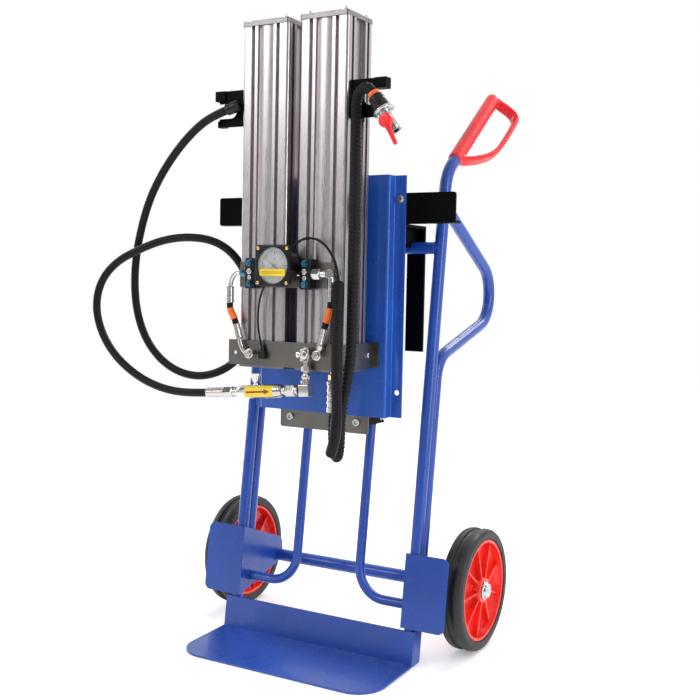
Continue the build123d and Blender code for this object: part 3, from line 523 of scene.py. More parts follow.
def module_points(route):
    return [MODULE @ (Vector(point) * MM) for point in route]


def spline_curve(name, route, radius=0.0):
    """A smooth NURBS curve whose control points are the route's points."""
    data = bpy.data.curves.new(name, "CURVE")
    data.dimensions = "3D"
    spline = data.splines.new("NURBS")
    places = module_points(route)
    spline.points.add(len(places) - 1)
    for point, place in zip(spline.points, places):
        point.co = (*place, 1)
    spline.order_u = 3
    spline.use_endpoint_u = True
    spline.resolution_u = 12
    data.bevel_depth = radius * MM
    data.bevel_resolution = 6
    data.use_fill_caps = True
    curve = bpy.data.objects.new(name, data)
    bpy.context.scene.collection.objects.link(curve)
    return curve


def spline_path(name, route, step):
    """Evenly spaced points along the route's smooth curve, in metres."""
    curve = spline_curve(name, route)
    mesh = bpy.data.meshes.new_from_object(curve)
    points = [vertex.co.copy() for vertex in mesh.vertices]
    bpy.data.meshes.remove(mesh)
    bpy.data.objects.remove(curve)
    return resampled(points, step * MM)


def path_length(points):
    return sum((b - a).length for a, b in zip(points, points[1:]))


def shaped_hose(name, route, material, step, radius_at, segments=24):
    """A hose as a mesh tube; radius_at works in millimetres along and around it."""
    points = spline_path(name + "_route", route, step)
    bm = bmesh.new()
    tube_into(bm, [point / MM for point in points], radius_at, segments)
    piece = add_object(name, bm, material, Matrix())
    return piece, points


def make_supply_hose():
    """Smooth rubber pressure hose with a faint moulded pitch."""
    def radius_at(along, angle):
        return 8.45 + 0.05 * math.cos(2 * math.pi * along / 7.0)
    piece, points = shaped_hose("supply_hose_skin", SUPPLY_ROUTE, "hose", 2.4, radius_at)
    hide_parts("supply_hose")


def make_valve_hose():
    """Hose in a spiral guard: a helical ridge whose crests show along its edge."""
    def radius_at(along, angle):
        return 9.9 + 0.55 * math.cos(2 * math.pi * along / 8.5 - angle)
    piece, points = shaped_hose("valve_hose_guard", VALVE_ROUTE, "wrap", 1.1, radius_at, 28)
    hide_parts("valve_hose")


def make_conduit():
    """Corrugated conduit with a smooth boot at each end."""
    full = path_length(spline_path("conduit_measure", CONDUIT_ROUTE, 2.0)) / MM

    def radius_at(along, angle):
        cap = 11.0
        if along < 9:
            cap = 11.0 * math.sqrt(max(0.05, 1 - (1 - along / 9) ** 2))
        if along > full - 9:
            cap = 11.0 * math.sqrt(max(0.05, 1 - (1 - (full - along) / 9) ** 2))
        smooth_top = along < 52
        smooth_end = along > full - 78
        if smooth_top or smooth_end:
            return min(cap, 10.8 + 0.15 * math.cos(2 * math.pi * along / 23))
        return min(cap, 10.35 + 0.6 * math.cos(2 * math.pi * along / 5.2))
    piece, points = shaped_hose("conduit_skin", CONDUIT_ROUTE, "wrap", 0.9, radius_at)
    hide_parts("cable_conduit")


def make_thin_cords():
    for name, route, radius, replaced in (("gauge_lead", CABLE_ROUTE, 2.5, True),
                                          ("bleed_tube", BLEED_ROUTE, 2.0, False)):
        curve = spline_curve(name, route, radius)
        curve.data.materials.append(MATERIALS["cable"])
        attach(curve, "cart")
        if replaced:
            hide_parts("gauge_cable")
        points = spline_path(name + "_measure", route, 1.0)


# ---------------------------------------------------------------- grips
def handle_frame():
    """Corner of the handle bend and the handle's direction, in cart millimetres."""
    tilt = math.radians(53.9)
    corner = Vector((213.0, -126.0 + (977.0 - 125.0) * LEAN_TAN, 977.0))
    return corner, Vector((0, math.sin(tilt), math.cos(tilt)))


def make_grip(side):
    corner, along = handle_frame()
    outward = Vector((1, 0, 0))
    down = Vector((0, along.z, -along.y))
    reach = (down + outward).normalized()
    across = along.cross(reach)
    start = corner + along * 62.0

    def at(s, w):
        return start + along * s + reach * w
    bm = bmesh.new()
    sleeve = [(-15, 0), (-15, 12.5), (-14.2, 14.2), (-12, 15.3), (-6, 15.5), (226, 15.3), (236, 14.6),
              (239.5, 11.5), (240.5, 6), (240.5, 0)]
    lathe_into(bm, sleeve, placed(start, along, outward), 48)
    guard = [(-6, 4), (4, 20), (26, 37), (52, 53), (78, 63), (106, 67.5), (150, 68.5), (196, 68.5),
             (218, 67.5), (229, 60), (233, 46), (233.5, 26), (233, 6)]
    path = resampled(smooth_path([at(s, w) for s, w in guard]), 4.0)
    section = rounded_rectangle(11.0, 26.0, 4.8, 4)
    rings = []
    for k, point in enumerate(path):
        ahead = (path[min(k + 1, len(path) - 1)] - path[max(k - 1, 0)]).normalized()
        inward = across.cross(ahead)
        rings.append([bm.verts.new(point + inward * x + across * y) for x, y in section])
    for a, b in zip(rings, rings[1:]):
        for j in range(len(section)):
            bm.faces.new([a[j], a[(j + 1) % len(section)], b[(j + 1) % len(section)], b[j]])
    bm.faces.new(rings[0])
    bm.faces.new(rings[-1])
    matrix = CART @ Matrix.Scale(-1, 4, (1, 0, 0)) if side == "left" else CART
    piece = add_object(side + "_moulded_grip", bm, "grip", matrix)
    merged = piece.modifiers.new("merged", "REMESH")
    merged.mode = "VOXEL"
    merged.voxel_size = 1.5 * MM
    merged.use_smooth_shade = True
    softened = piece.modifiers.new("softened", "SMOOTH")
    softened.factor = 0.5
    softened.iterations = 7
    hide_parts(side + "_grip")


# ---------------------------------------------------------------- wheels
def make_wheel(side):
    sign = 1 if side == "right" else -1
    body = side + "_wheel"
    centre = Vector((sign * WHEEL_X / MM, 0, WHEEL_RADIUS))
    place = placed(centre, (sign, 0, 0), Vector((0, 0, 1)))
    tyre = bmesh.new()
    profile = [(-22, 103.8), (-24.6, 105), (-25, 108), (-24.4, 110.5), (-25, 113), (-24.4, 118),
               (-22.4, 121.6), (-19, 123.6), (-14, 124.6), (-9.4, 124.8), (-7.2, 124.2), (-6.4, 122.6),
               (-6, 120.2), (-4.6, 119.4), (4.6, 119.4), (6, 120.2), (6.4, 122.6), (7.2, 124.2),
               (9.4, 124.8), (14, 124.6), (19, 123.6), (22.4, 121.6), (24.4, 118), (25, 113), (24.4, 110.5),
               (25, 108), (24.6, 105), (22, 103.8), (-22, 103.8)]
    lathe_into(tyre, profile, place, 128)
    skin = add_object(side + "_tyre_tread", tyre, "tyre", CART, body)
    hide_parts(side + "_tyre")
    rim = bmesh.new()
    dish = [(-22, 103.6), (-23, 102), (-23, 98.6), (-21.8, 97.2), (-14, 96.0), (-6, 92), (-4.5, 60),
            (-5.5, 32), (-7, 27.5), (-21, 26), (-23.2, 24.6), (-23.8, 22), (-23.8, 14.1), (23.8, 14.1),
            (23.8, 22), (23.2, 24.6), (21, 26), (7, 27.5), (5.5, 32), (4.5, 60), (6, 92), (14, 96.0),
            (21.8, 97.2), (23, 98.6), (23, 102), (22, 103.6), (-22, 103.6)]
    lathe_into(rim, dish, place, 112)
    for k in range(9):
        turn = place @ Matrix.Rotation(2 * math.pi * k / 9 + 0.35, 4, "Z")
        for face in (-1, 1):
            rib = [(24.5, 20.0), (97.0, 15.5), (97.0, 2.0), (24.5, 2.0)]
            spoke = [(x, face * y) for x, y in rib]
            standing = turn @ Matrix.Rotation(math.radians(90), 4, "X")
            prism_into(rim, spoke, -1.7, 1.7, standing)
    wheel = add_object(side + "_spoked_rim", rim, "rim", CART, body, bevel=0.7)
    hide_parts(side + "_rim")


def make_hub_caps():
    bm = bmesh.new()
    for sign in (-1, 1):
        start = Vector((sign * 315.6, 0, 125))
        profile = [(0, 10.2), (0, 18.6), (0.9, 19), (1.7, 18.6), (2.2, 16.6), (3.4, 15.6), (5.6, 15.3),
                   (7.4, 14.2), (8.3, 11.5), (8.5, 6), (7.7, 4.6), (7.7, 0)]
        turned_into(bm, start, (sign, 0, 0), profile, segments=48)
    caps = add_object("push_on_caps", bm, "zinc", CART)
    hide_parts("hub_caps")


# ---------------------------------------------------------------- sheet metal
def folded_outline(points, thickness, radius, steps=6):
    """Closed outline of a folded sheet whose middle line is `points` with bends of `radius`."""
    line = []
    for k, point in enumerate(points):
        here = Vector(point)
        if k in (0, len(points) - 1):
            line.append(here)
            continue
        before = (Vector(points[k - 1]) - here).normalized()
        after = (Vector(points[k + 1]) - here).normalized()
        half = before.angle(after) / 2
        reach = radius / math.tan(half)
        bend = before + after
        centre = here + bend.normalized() * (radius / math.sin(half))
        start, end = here + before * reach - centre, here + after * reach - centre
        for step in range(steps + 1):
            line.append(centre + start.slerp(end, step / steps) * radius)
    left, right = [], []
    for k, point in enumerate(line):
        ahead = (line[min(k + 1, len(line) - 1)] - line[max(k - 1, 0)]).normalized()
        normal = Vector((-ahead.y, ahead.x)) * thickness / 2
        left.append(point + normal)
        right.append(point - normal)
    return [tuple(p) for p in left + right[::-1]]


def drill(piece, holes, matrix):
    """Cut round holes, each (start, end, radius) in millimetres, through a piece."""
    bm = bmesh.new()
    for start, end, radius in holes:
        rod_into(bm, start, end, radius, round_off=0.01, segments=48)
    bmesh.ops.recalc_face_normals(bm, faces=bm.faces)
    mesh = bpy.data.meshes.new("cutter")
    bm.to_mesh(mesh)
    bm.free()
    mesh.transform(matrix @ Matrix.Scale(MM, 4))
    cutter = bpy.data.objects.new("cutter", mesh)
    bpy.context.scene.collection.objects.link(cutter)
    cut = piece.modifiers.new("holes", "BOOLEAN")
    cut.object = cutter
    cut.solver = "EXACT"
    depsgraph = bpy.context.evaluated_depsgraph_get()
    result = bpy.data.meshes.new_from_object(piece.evaluated_get(depsgraph))
    piece.modifiers.remove(cut)
    piece.data = result
    bpy.data.objects.remove(cutter)
    bpy.data.meshes.remove(mesh)


def round_edges(piece, width):
    rounding = piece.modifiers.new("rounding", "BEVEL")
    rounding.width = width * MM
    rounding.segments = 2
    rounding.limit_method = "ANGLE"
    rounding.angle_limit = math.radians(35)


def make_back_panel():
    """Hat section with rounded folds and holes drilled through its ears."""
    half, ear, front, back = 150.25, 176.5, 120.25, 142.65
    points = [(-ear, back), (-half, back), (-half, front), (half, front), (half, back), (ear, back)]
    bm = bmesh.new()
    prism_into(bm, folded_outline(points, 2.5, 4.2), 492, 974, Matrix())
    piece = add_object("folded_back_panel", bm, "panel", MODULE)
    holes = [((side * x, 130, z), (side * x, 160, z), r) for side in (-1, 1)
             for x, z, r in ((164.3, 927.3, 4.3), (165.0, 542.3, 5.25))]
    drill(piece, holes, MODULE)
    round_edges(piece, 0.5)
    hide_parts("back_panel")


def make_weld_beads():
    """Rippled fillet welds where the cart's tubes meet each other and the gussets."""
    def tube_y(z, offset):
        return offset + (z - 125.0) * LEAN_TAN
    seams = []
    for sign in (-1, 1):
        x = sign * 197.0
        seams.append(((x, 0, 125), (1, 0, 0), 13.6))
        seams.append(((x, tube_y(107, -108), 107), (1, 0, 0), 10.3))
        seams.append(((sign * 201.5, tube_y(825, -126), 825), (1, 0, 0), 12.4))
        seams.append(((sign * 213, 4.0, 916.5), (0, 0.84, -0.54), 12.9))
    bm = bmesh.new()
    for count, (centre, axis, radius) in enumerate(seams):
        place = placed(Vector(centre), axis)
        ring = []
        beads = 72
        for k in range(beads):
            turn = 2 * math.pi * k / beads
            swell = 1.7 + 0.35 * math.cos(turn * 24) + 0.15 * math.sin(turn * 5 + count)
            loop = []
            for j in range(10):
                lean = 2 * math.pi * j / 10
                reach = radius + swell * 0.75 * math.cos(lean)
                loop.append(bm.verts.new(place @ Vector((reach * math.cos(turn), reach * math.sin(turn),
                                                         swell * math.sin(lean)))))
            ring.append(loop)
        for k in range(beads):
            a, b = ring[k], ring[(k + 1) % beads]
            for j in range(10):
                bm.faces.new([a[j], a[(j + 1) % 10], b[(j + 1) % 10], b[j]])
    piece = add_object("weld_beads", bm, "blue", CART)


# ---------------------------------------------------------------- gauge
def square_point(turn, half, corner):
    """Point of a rounded square's outline in the direction `turn`."""
    along = Vector((math.cos(turn), math.sin(turn)))
    low, high = half - 0.1, half * 1.5
    inner = half - corner
    for step in range(24):
        reach = (low + high) / 2
        dx, dy = (max(abs(c) * reach - inner, 0.0) for c in along)
        if math.hypot(dx, dy) > corner:
            high = reach
        else:
            low = reach
    return tuple(along * low)


def make_gauge():
    face = GAUGE.y
    facing = placed(Vector((GAUGE.x, face, GAUGE.z)), (0, 1, 0), Vector((0, 0, 1)))
    body = bmesh.new()
    square = [square_point(math.radians(3.75 * k), 40.0, 9.0) for k in range(96)]
    loops = []
    for depth, shrink in ((6.0, 0), (1.2, 0), (0.2, 1.0), (0.0, 2.2)):
        scale = (40 - shrink) / 40
        loops.append([body.verts.new(facing @ Vector((x * scale, y * scale, depth))) for x, y in square])
    for a, b in zip(loops, loops[1:]):
        for k in range(len(square)):
            body.faces.new([a[k], a[(k + 1) % len(square)], b[(k + 1) % len(square)], b[k]])
    count = len(square)
    rim = [body.verts.new(facing @ Vector((37.6 * math.cos(t), 37.6 * math.sin(t), 0)))
           for t in (math.atan2(y, x) for x, y in square)]
    back = [body.verts.new(facing @ Vector((36.8 * math.cos(t), 36.8 * math.sin(t), 6.0)))
            for t in (math.atan2(y, x) for x, y in square)]
    for k in range(count):
        body.faces.new([loops[-1][k], loops[-1][(k + 1) % count], rim[(k + 1) % count], rim[k]])
        body.faces.new([loops[0][k], loops[0][(k + 1) % count], back[(k + 1) % count], back[k]])
    bezel = [(0, 37.6), (-1.0, 37.2), (-1.4, 36.4), (-1.0, 35.6), (0.4, 35.2), (9.2, 35.0)]
    lathe_into(body, bezel, facing, count)
    case = [(6.0, 36.8), (14, 36.8), (15, 36.0), (40, 36.0), (44.6, 34.6), (45.6, 32.0), (45.6, 0)]
    lathe_into(body, case, facing, 96)
    bmesh.ops.remove_doubles(body, verts=body.verts, dist=0.05)
    shell = add_object("gauge_case", body, "black", MODULE)
    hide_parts("gauge_body")
    screws = bmesh.new()
    for dx in (-33, 33):
        for dz in (-33, 33):
            spot = Vector((GAUGE.x + dx, face, GAUGE.z + dz))
            head = [(0.4, 3.6), (-0.7, 3.5), (-1.4, 2.8), (-1.6, 1.7), (-0.8, 1.4), (-0.8, 0)]
            lathe_into(screws, head, placed(spot, (0, 1, 0)), 24)
    heads = add_object("gauge_screws", screws, "brass", MODULE)
    dial = bmesh.new()
    lathe_into(dial, [(8.9, 34.9), (8.0, 34.9), (8.0, 0)], facing, 96)
    plate = add_object("dial_face", dial, "dial", MODULE)
    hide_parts("gauge_dial")
    marks = bmesh.new()

    def mark(turn, inner, outer, width):
        along = Vector((math.cos(turn), math.sin(turn)))
        side = Vector((-along.y, along.x)) * width / 2
        corners = [along * inner - side, along * outer - side, along * outer + side, along * inner + side]
        prism_into(marks, [(-p.x, p.y) for p in corners], 7.75, 7.98, facing)
    for step in range(31):
        turn = math.radians(225 - 9 * step)
        major = step % 5 == 0
        mark(turn, 20.5 if major else 23.5, 27.0, 1.7 if major else 0.8)
    for step in range(60):
        turn = math.radians(225 - 4.5 * step)
        span = math.radians(4.6)
        arc = [(reach * math.cos(t), reach * math.sin(t))
               for reach, t in ((28.0, turn), (28.0, turn - span), (29.0, turn - span), (29.0, turn))]
        prism_into(marks, [(-x, y) for x, y in arc], 7.8, 7.98, facing)
    prism_into(marks, polygon(1.8, 20), 7.8, 7.98, facing @ Matrix.Translation((0, 13, 0)))
    scale = add_object("dial_marks", marks, "ink", MODULE, smooth=False)
    strip = bmesh.new()
    lower, upper = -20.0, -6.5
    outline = [(28.0, lower), (29.5, lower + 2), (29.5, upper), (-29.5, upper), (-29.5, lower + 2),
               (-28.0, lower)]
    prism_into(strip, outline, 0.55, 0.95, facing)
    add_object("dial_label", strip, "yellow", MODULE, bevel=0.1)
    border = bmesh.new()
    for level in (lower + 5.4, lower + 8.0):
        prism_into(border, [(24, level - 0.35), (24, level + 0.35), (-24, level + 0.35), (-24, level - 0.35)],
                   0.4, 0.53, facing)
    fine = add_object("dial_label_rules", border, "arrow", MODULE, smooth=False)
    dome = bmesh.new()
    curve = [(2.6, 0), (2.6, 34.9), (1.8, 34.9), (1.4, 26), (1.1, 16), (1.0, 0)]
    lathe_into(dome, curve, facing, 64)
    lens = add_object("gauge_window", dome, "lens", MODULE)
    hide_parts("gauge_lens")


def make_needle():
    centre = Vector((GAUGE.x, GAUGE.y, GAUGE.z))
    facing = placed(centre, (0, 1, 0), Vector((0, 0, 1)))
    reach = math.radians(146.0)
    bm = bmesh.new()
    outline = [(-10, -1.5), (-11.5, 0), (-10, 1.5), (2, 1.1), (26, 0.25), (26, -0.25), (2, -1.1)]
    turned = [(x * math.cos(reach) - y * math.sin(reach), x * math.sin(reach) + y * math.cos(reach))
              for x, y in outline]
    prism_into(bm, [(-x, y) for x, y in turned], 4.7, 5.4, facing)
    hub = [(6.2, 1.1), (6.2, 3.4), (4.4, 3.4), (4.0, 2.6), (4.0, 1.1), (6.2, 1.1)]
    lathe_into(bm, hub, facing, 32)
    piece = add_object("pointer", bm, "ink", MODULE, "needle", bevel=0.08)
    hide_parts("gauge_needle")


def make_clamps():
    """Two-part pipe clamps with a parting line and the bolts through them."""
    blocks = bmesh.new()
    bolts = bmesh.new()
    middle_nuts = bmesh.new()
    for x in CLAMP_X:
        for low, high in ((-11.6, -1.2), (-21.9, -12.4)):
            place = placed(Vector((x, 0, PIPE_Z)), (0, 1, 0))
            outline = rounded_rectangle(24, 60, 3.5, 5)
            prism_into(blocks, outline, low, high, place)
        lathe_into(blocks, [(-13.5, 0), (-13.5, 9.2), (-12.5, 10), (12.5, 10), (13.5, 9.2), (13.5, 0)],
                   placed(Vector((x, FIT_Y, PIPE_Z)), (1, 0, 0)), 32)
        for z in (PIPE_Z - 20, PIPE_Z + 20):
            washer = [(0, 3.2), (0, 7.0), (-0.5, 7.3), (-1.3, 7.3), (-1.7, 6.9), (-1.7, 3.0)]
            lathe_into(bolts, washer, placed(Vector((x, -22.0, z)), (0, 1, 0)), 32)
            hex_into(bolts, (x, -23.6, z), (x, -29.0, z), 11.0, chamfer=0.8)
            rod_into(bolts, (x, -28.9, z), (x, -30.5, z), 2.6, round_off=0.7)
        hex_into(middle_nuts, (x, -22.0, PIPE_Z + 4), (x, -26.2, PIPE_Z + 4), 11.0, chamfer=0.7)
        hex_into(middle_nuts, (x, -22.0, PIPE_Z - 8), (x, -25.0, PIPE_Z - 8), 9.0, chamfer=0.5)
        rod_into(middle_nuts, (x, -26.0, PIPE_Z + 4), (x, -28.0, PIPE_Z + 4), 2.8, round_off=0.7)
    piece = add_object("clamp_halves", blocks, "black", MODULE, bevel=0.8)
    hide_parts("pipe_clamps")
    heads = add_object("clamp_hardware", bolts, "blue_zinc", MODULE, bevel=0.2)
    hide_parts("clamp_bolts")
    nuts = add_object("clamp_nuts", middle_nuts, "chrome", MODULE, bevel=0.2)


# ---------------------------------------------------------------- hoses at the gauge
def crimp_profile(length, radius, ribs=3):
    """Profile of a crimped ferrule: plain ends and squeezed bands between ribs."""
    profile = [(0, radius * 0.62), (0, radius * 0.9), (length * 0.03, radius)]
    for k in range(ribs):
        low = length * (0.14 + 0.78 * k / ribs)
        high = low + 0.6 * length * 0.78 / ribs
        profile += [(low, radius), (low + 0.5, radius * 0.91), (high - 0.5, radius * 0.91), (high, radius)]
    return profile + [(length * 0.97, radius), (length, radius * 0.88), (length, radius * 0.5)]


def fit(x, z, y=FIT_Y):
    return Vector((x, y, z))


LEFT_HOSE = [fit(-136, 716), fit(-136, 703), fit(-124.1, 684.4), fit(-120.4, 672.7)]
RIGHT_HOSE = [fit(100, 723), fit(100, 708), fit(90.9, 685.8), fit(87.3, 672)]


def make_gauge_hoses():
    for side, points in (("left", LEFT_HOSE), ("right", RIGHT_HOSE)):
        path = resampled(smooth_path(points, 4), 1.0)
        total = sum((b - a).length for a, b in zip(path, path[1:]))
        bm = bmesh.new()
        tube_into(bm, path, lambda along, angle: 6.35 + 0.1 * math.cos(2 * math.pi * along / 3 - angle), 28)
        hose = add_object(side + "_gauge_hose_skin", bm, "hose", MODULE)
        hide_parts(side + "_gauge_hose")
        first, last = int(len(path) * 0.24), int(len(path) * 0.76)
        sleeve = bmesh.new()
        length = total * 0.52

        def sleeve_radius(along, angle, length=length):
            edge = min(along, length - along)
            return 6.6 + 0.35 * min(1.0, max(0.0, edge) / 0.8)
        tube_into(sleeve, path[first:last + 1], sleeve_radius, 28)
        add_object(side + "_hose_sleeve", sleeve, "orange", MODULE)


def bent_pipe_into(bm, points, radius, step=1.2, matrix=Matrix()):
    path = resampled(smooth_path([matrix @ Vector(p) for p in points], 4), step)
    tube_into(bm, path, lambda along, angle: radius, 24)


def banjo_into(bm, x, z):
    """Ring joint held to the strap by a hollow bolt."""
    ring = [(0, 6), (0, 9.4), (0.8, 10), (12.4, 10), (13.4, 9.2), (13.8, 8.0), (13.8, 4)]
    lathe_into(bm, ring, placed(Vector((x, -3.2, z)), (0, -1, 0)), 40)
    hex_into(bm, (x, -17.0, z), (x, -22.4, z), 14.5, chamfer=1.0)
    rod_into(bm, (x, -22.2, z), (x, -23.4, z), 4.2, round_off=0.5)


def make_gauge_fittings():
    bm = bmesh.new()
    left_body = GAUGE.x - 36.5
    bent_pipe_into(bm,
                   [fit(left_body, PIPE_Z), fit(-110, PIPE_Z), fit(-124, 774), fit(-133, 764),
                    fit(-136, 747)], 4.7)
    turned_into(bm, fit(-136, 748), (0, 0, -1), crimp_profile(32, 8.0), segments=40)
    direction = (fit(-110, 640) - fit(-120.5, 673)).normalized()
    turned_into(bm, fit(-120.5, 673), direction, crimp_profile(30, 7.8), segments=40)
    bent_pipe_into(bm, [fit(-111, 643), fit(-107, 630), fit(-100, 619), fit(-94, 616)], 4.4)
    banjo_into(bm, -86, 616)
    hex_into(bm, fit(60, PIPE_Z), fit(78, PIPE_Z), 20, chamfer=1.0)
    turned_into(bm, fit(25.5, PIPE_Z), (1, 0, 0), [(0, 0), (0, 5), (36, 5), (36, 0)], segments=32)
    bent_pipe_into(bm, [fit(77, PIPE_Z), fit(92, PIPE_Z), fit(100, 770), fit(100, 747)], 7.0)
    turned_into(bm, fit(100, 776), (0, -1, 0),
                [(0, 0), (6, 0), (6, 8.6), (6.8, 9), (9.4, 9), (10, 8.4), (10, 0)])
    turned_into(bm, fit(100, 748), (0, 0, -1), crimp_profile(25, 7.6, 2), segments=40)
    direction = (fit(79, 640) - fit(87.3, 672)).normalized()
    turned_into(bm, fit(87.3, 672), direction, crimp_profile(31, 8.0), segments=40)
    bent_pipe_into(bm, [fit(79.6, 643), fit(76, 630), fit(73, 622)], 4.6)
    hex_into(bm, fit(78.6, 640), fit(76.4, 631), 13.5, chamfer=0.7)
    banjo_into(bm, 72, 620)
    piece = add_object("gauge_pipes", bm, "chrome", MODULE, bevel=0.25)
    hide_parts("gauge_hose_fittings")
    blue = bmesh.new()
    hex_into(blue, fit(-96, PIPE_Z), fit(-105, PIPE_Z), 14, chamfer=0.8)
    turned_into(blue, fit(-105, PIPE_Z), (-1, 0, 0),
                [(0, 0), (0, 6.4), (4, 6.2), (5.5, 5.6), (5.5, 0)], segments=32)
    nuts = add_object("gauge_pipe_nut", blue, "blue_zinc", MODULE, bevel=0.2)
    plug = bmesh.new()
    outline = rounded_rectangle(15, 15, 3, 4)
    prism_into(plug, outline, 3.2, 13, placed(Vector((-58, 0, 614)), (0, -1, 0)))
    turned_into(plug, (-58, -8, 621), (0, 0, 1),
                [(0, 0), (0, 4.6), (7, 4.2), (12, 3.0), (13.5, 2.2), (13.5, 0)])
    boot = add_object("bleed_grommet", plug, "black", MODULE, bevel=0.8)


# ---------------------------------------------------------------- throttle valve
def make_throttle():
    def at(x, y=0.0, z=0.0):
        return Vector((-x, y, z))
    body = bmesh.new()
    profile = [(0, 0), (0, 10.5), (1.2, 11.6), (5, 12.0), (6, 13.1), (7, 13.5), (96, 13.5), (98, 13.1),
               (99, 12.0), (103.6, 11.6), (105, 10.4), (105, 0)]
    turned_into(body, at(56), (-1, 0, 0), profile, segments=64)
    turned_into(body, at(118, 0, 11), (0, 0, 1),
                [(0, 0), (0, 6.6), (3.4, 6.4), (4.8, 5.6), (4.8, 0)], segments=40)
    shell = add_object("throttle_shell", body, "chrome", THROTTLE)
    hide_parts("throttle_body")
    label = bmesh.new()

    def patch(bm, start, end, radius, turn_low, turn_high, steps):
        rows = []
        for reach in (radius, radius + 0.25):
            for x in (start, end):
                rows.append([bm.verts.new(at(x, radius_y, radius_z)) for radius_y, radius_z in
                             ((reach * math.cos(t), -reach * math.sin(t)) for t in
                              (turn_low + (turn_high - turn_low) * k / steps for k in range(steps + 1)))])
        for a, b in ((0, 1), (2, 3), (0, 2), (1, 3)):
            for k in range(steps):
                bm.faces.new([rows[a][k], rows[a][k + 1], rows[b][k + 1], rows[b][k]])
        for k in (0, steps):
            bm.faces.new([rows[0][k], rows[1][k], rows[3][k], rows[2][k]])
    patch(label, 72, 139, 13.55, math.radians(130), math.radians(235), 18)
    add_object("throttle_label", label, "yellow", THROTTLE)
    arrow = bmesh.new()
    patch(arrow, 92, 134, 13.85, math.radians(172), math.radians(186), 4)
    for step in range(7):
        spread = 19 - 2.7 * step
        start = 92 - 1.8 * step
        patch(arrow, start, start - 1.8, 13.85, math.radians(179 - spread), math.radians(179 + spread), 5)
    printed = add_object("throttle_arrow", arrow, "arrow", THROTTLE)
    ends = bmesh.new()
    hex_into(ends, at(25), at(46), 22, chamfer=1.4)
    turned_into(ends, at(46), (-1, 0, 0),
                [(0, 0), (0, 9.5), (1, 10), (3, 10), (3.4, 8.2), (9.8, 8.2), (9.8, 0)])
    turned_into(ends, at(19), (-1, 0, 0), [(0, 0), (0, 8.2), (6, 8.2), (6, 0)])
    prism_into(ends, rounded_rectangle(22, 24, 2.6, 4), -9, 13, placed(Vector((0, 0, 0)), (-1, 0, 0)))
    hex_into(ends, at(174), at(196), 21.5, chamfer=1.4)
    turned_into(ends, at(161), (-1, 0, 0),
                [(0, 0), (0, 9.0), (5, 9.0), (5.6, 10.2), (9, 10.2), (9.6, 8.4), (13.5, 8.4), (13.5, 0)])
    nuts = add_object("throttle_nuts", ends, "chrome", THROTTLE, bevel=0.5)
    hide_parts("throttle_fittings")
    stack = bmesh.new()
    x, y, z = 52.0 - 3, -15.0, 552.0
    turned_into(stack, (x, y, z + 8), (0, 0, 1),
                [(0, 0), (0, 8), (5, 8), (6, 7), (14, 6.5), (14, 5.4), (50, 5.4), (50, 0)])
    hex_into(stack, (x, y, z + 11), (x, y, z + 20), 17, chamfer=0.9)
    hex_into(stack, (x, y, z + 36), (x, y, z + 47), 17, chamfer=0.9)
    prism_into(stack, rounded_rectangle(20, 20, 2.5, 4), z + 56, z + 80, Matrix.Translation((x, y + 1, 0)))
    turned_into(stack, (x, y + 1, z + 68), (0, -1, 0),
                [(0, 0), (0, 8), (11, 8), (12, 7.2), (12.5, 5), (12.5, 0)])
    turned_into(stack, (x, y + 1, z + 68), (-1, 0, 0),
                [(0, 0), (0, 6.5), (13.5, 6.5), (13.5, 8.2), (19, 8.2), (20, 7.4), (20, 0)])
    turned_into(stack, (x, y + 1, z + 79), (0, 0, 1), [(0, 0), (0, 6.5), (3, 6.5), (3.6, 5.4), (3.6, 0)])
    riser = add_object("riser_and_tee", stack, "chrome", MODULE, bevel=0.5)
    ball = bmesh.new()
    turned_into(ball, (x, y, z + 19.5), (0, 0, 1),
                [(0, 0), (0, 5), (1.5, 7.0), (5, 8.3), (9, 8.0), (12.5, 6.2), (14.5, 4.6), (16.8, 4.6),
                 (16.8, 0)])
    union = add_object("ball_union", ball, "chrome", MODULE)


def make_knob():
    """Fluted adjusting knob that widens upwards."""
    bm = bmesh.new()
    levels = [(17, 5.2, 0), (18, 5.8, 0), (22, 7.2, 0.5), (28, 9.4, 0.9), (33, 11.0, 1.0), (35, 11.4, 0.9),
              (36, 10.4, 0.3), (36.2, 6.0, 0), (35.4, 5.4, 0), (35.4, 0.4, 0)]
    rings = []
    count = 72
    for z, radius, flute in levels:
        ring = []
        for k in range(count):
            turn = 2 * math.pi * k / count
            reach = radius - flute * max(0.0, math.cos(9 * turn)) ** 2
            ring.append(bm.verts.new(Vector((-118 + reach * math.cos(turn), reach * math.sin(turn), z))))
        rings.append(ring)
    for a, b in zip(rings, rings[1:]):
        for k in range(count):
            bm.faces.new([a[k], a[(k + 1) % count], b[(k + 1) % count], b[k]])
    bm.faces.new(rings[0])
    bm.faces.new(rings[-1])
    turned_into(bm, (-118, 0, 6), (0, 0, 1), [(0, 0), (0, 2.9), (11.5, 2.9), (11.5, 0)], segments=24)
    piece = add_object("adjusting_knob", bm, "chrome", THROTTLE, "knob")
    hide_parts("throttle_knob")


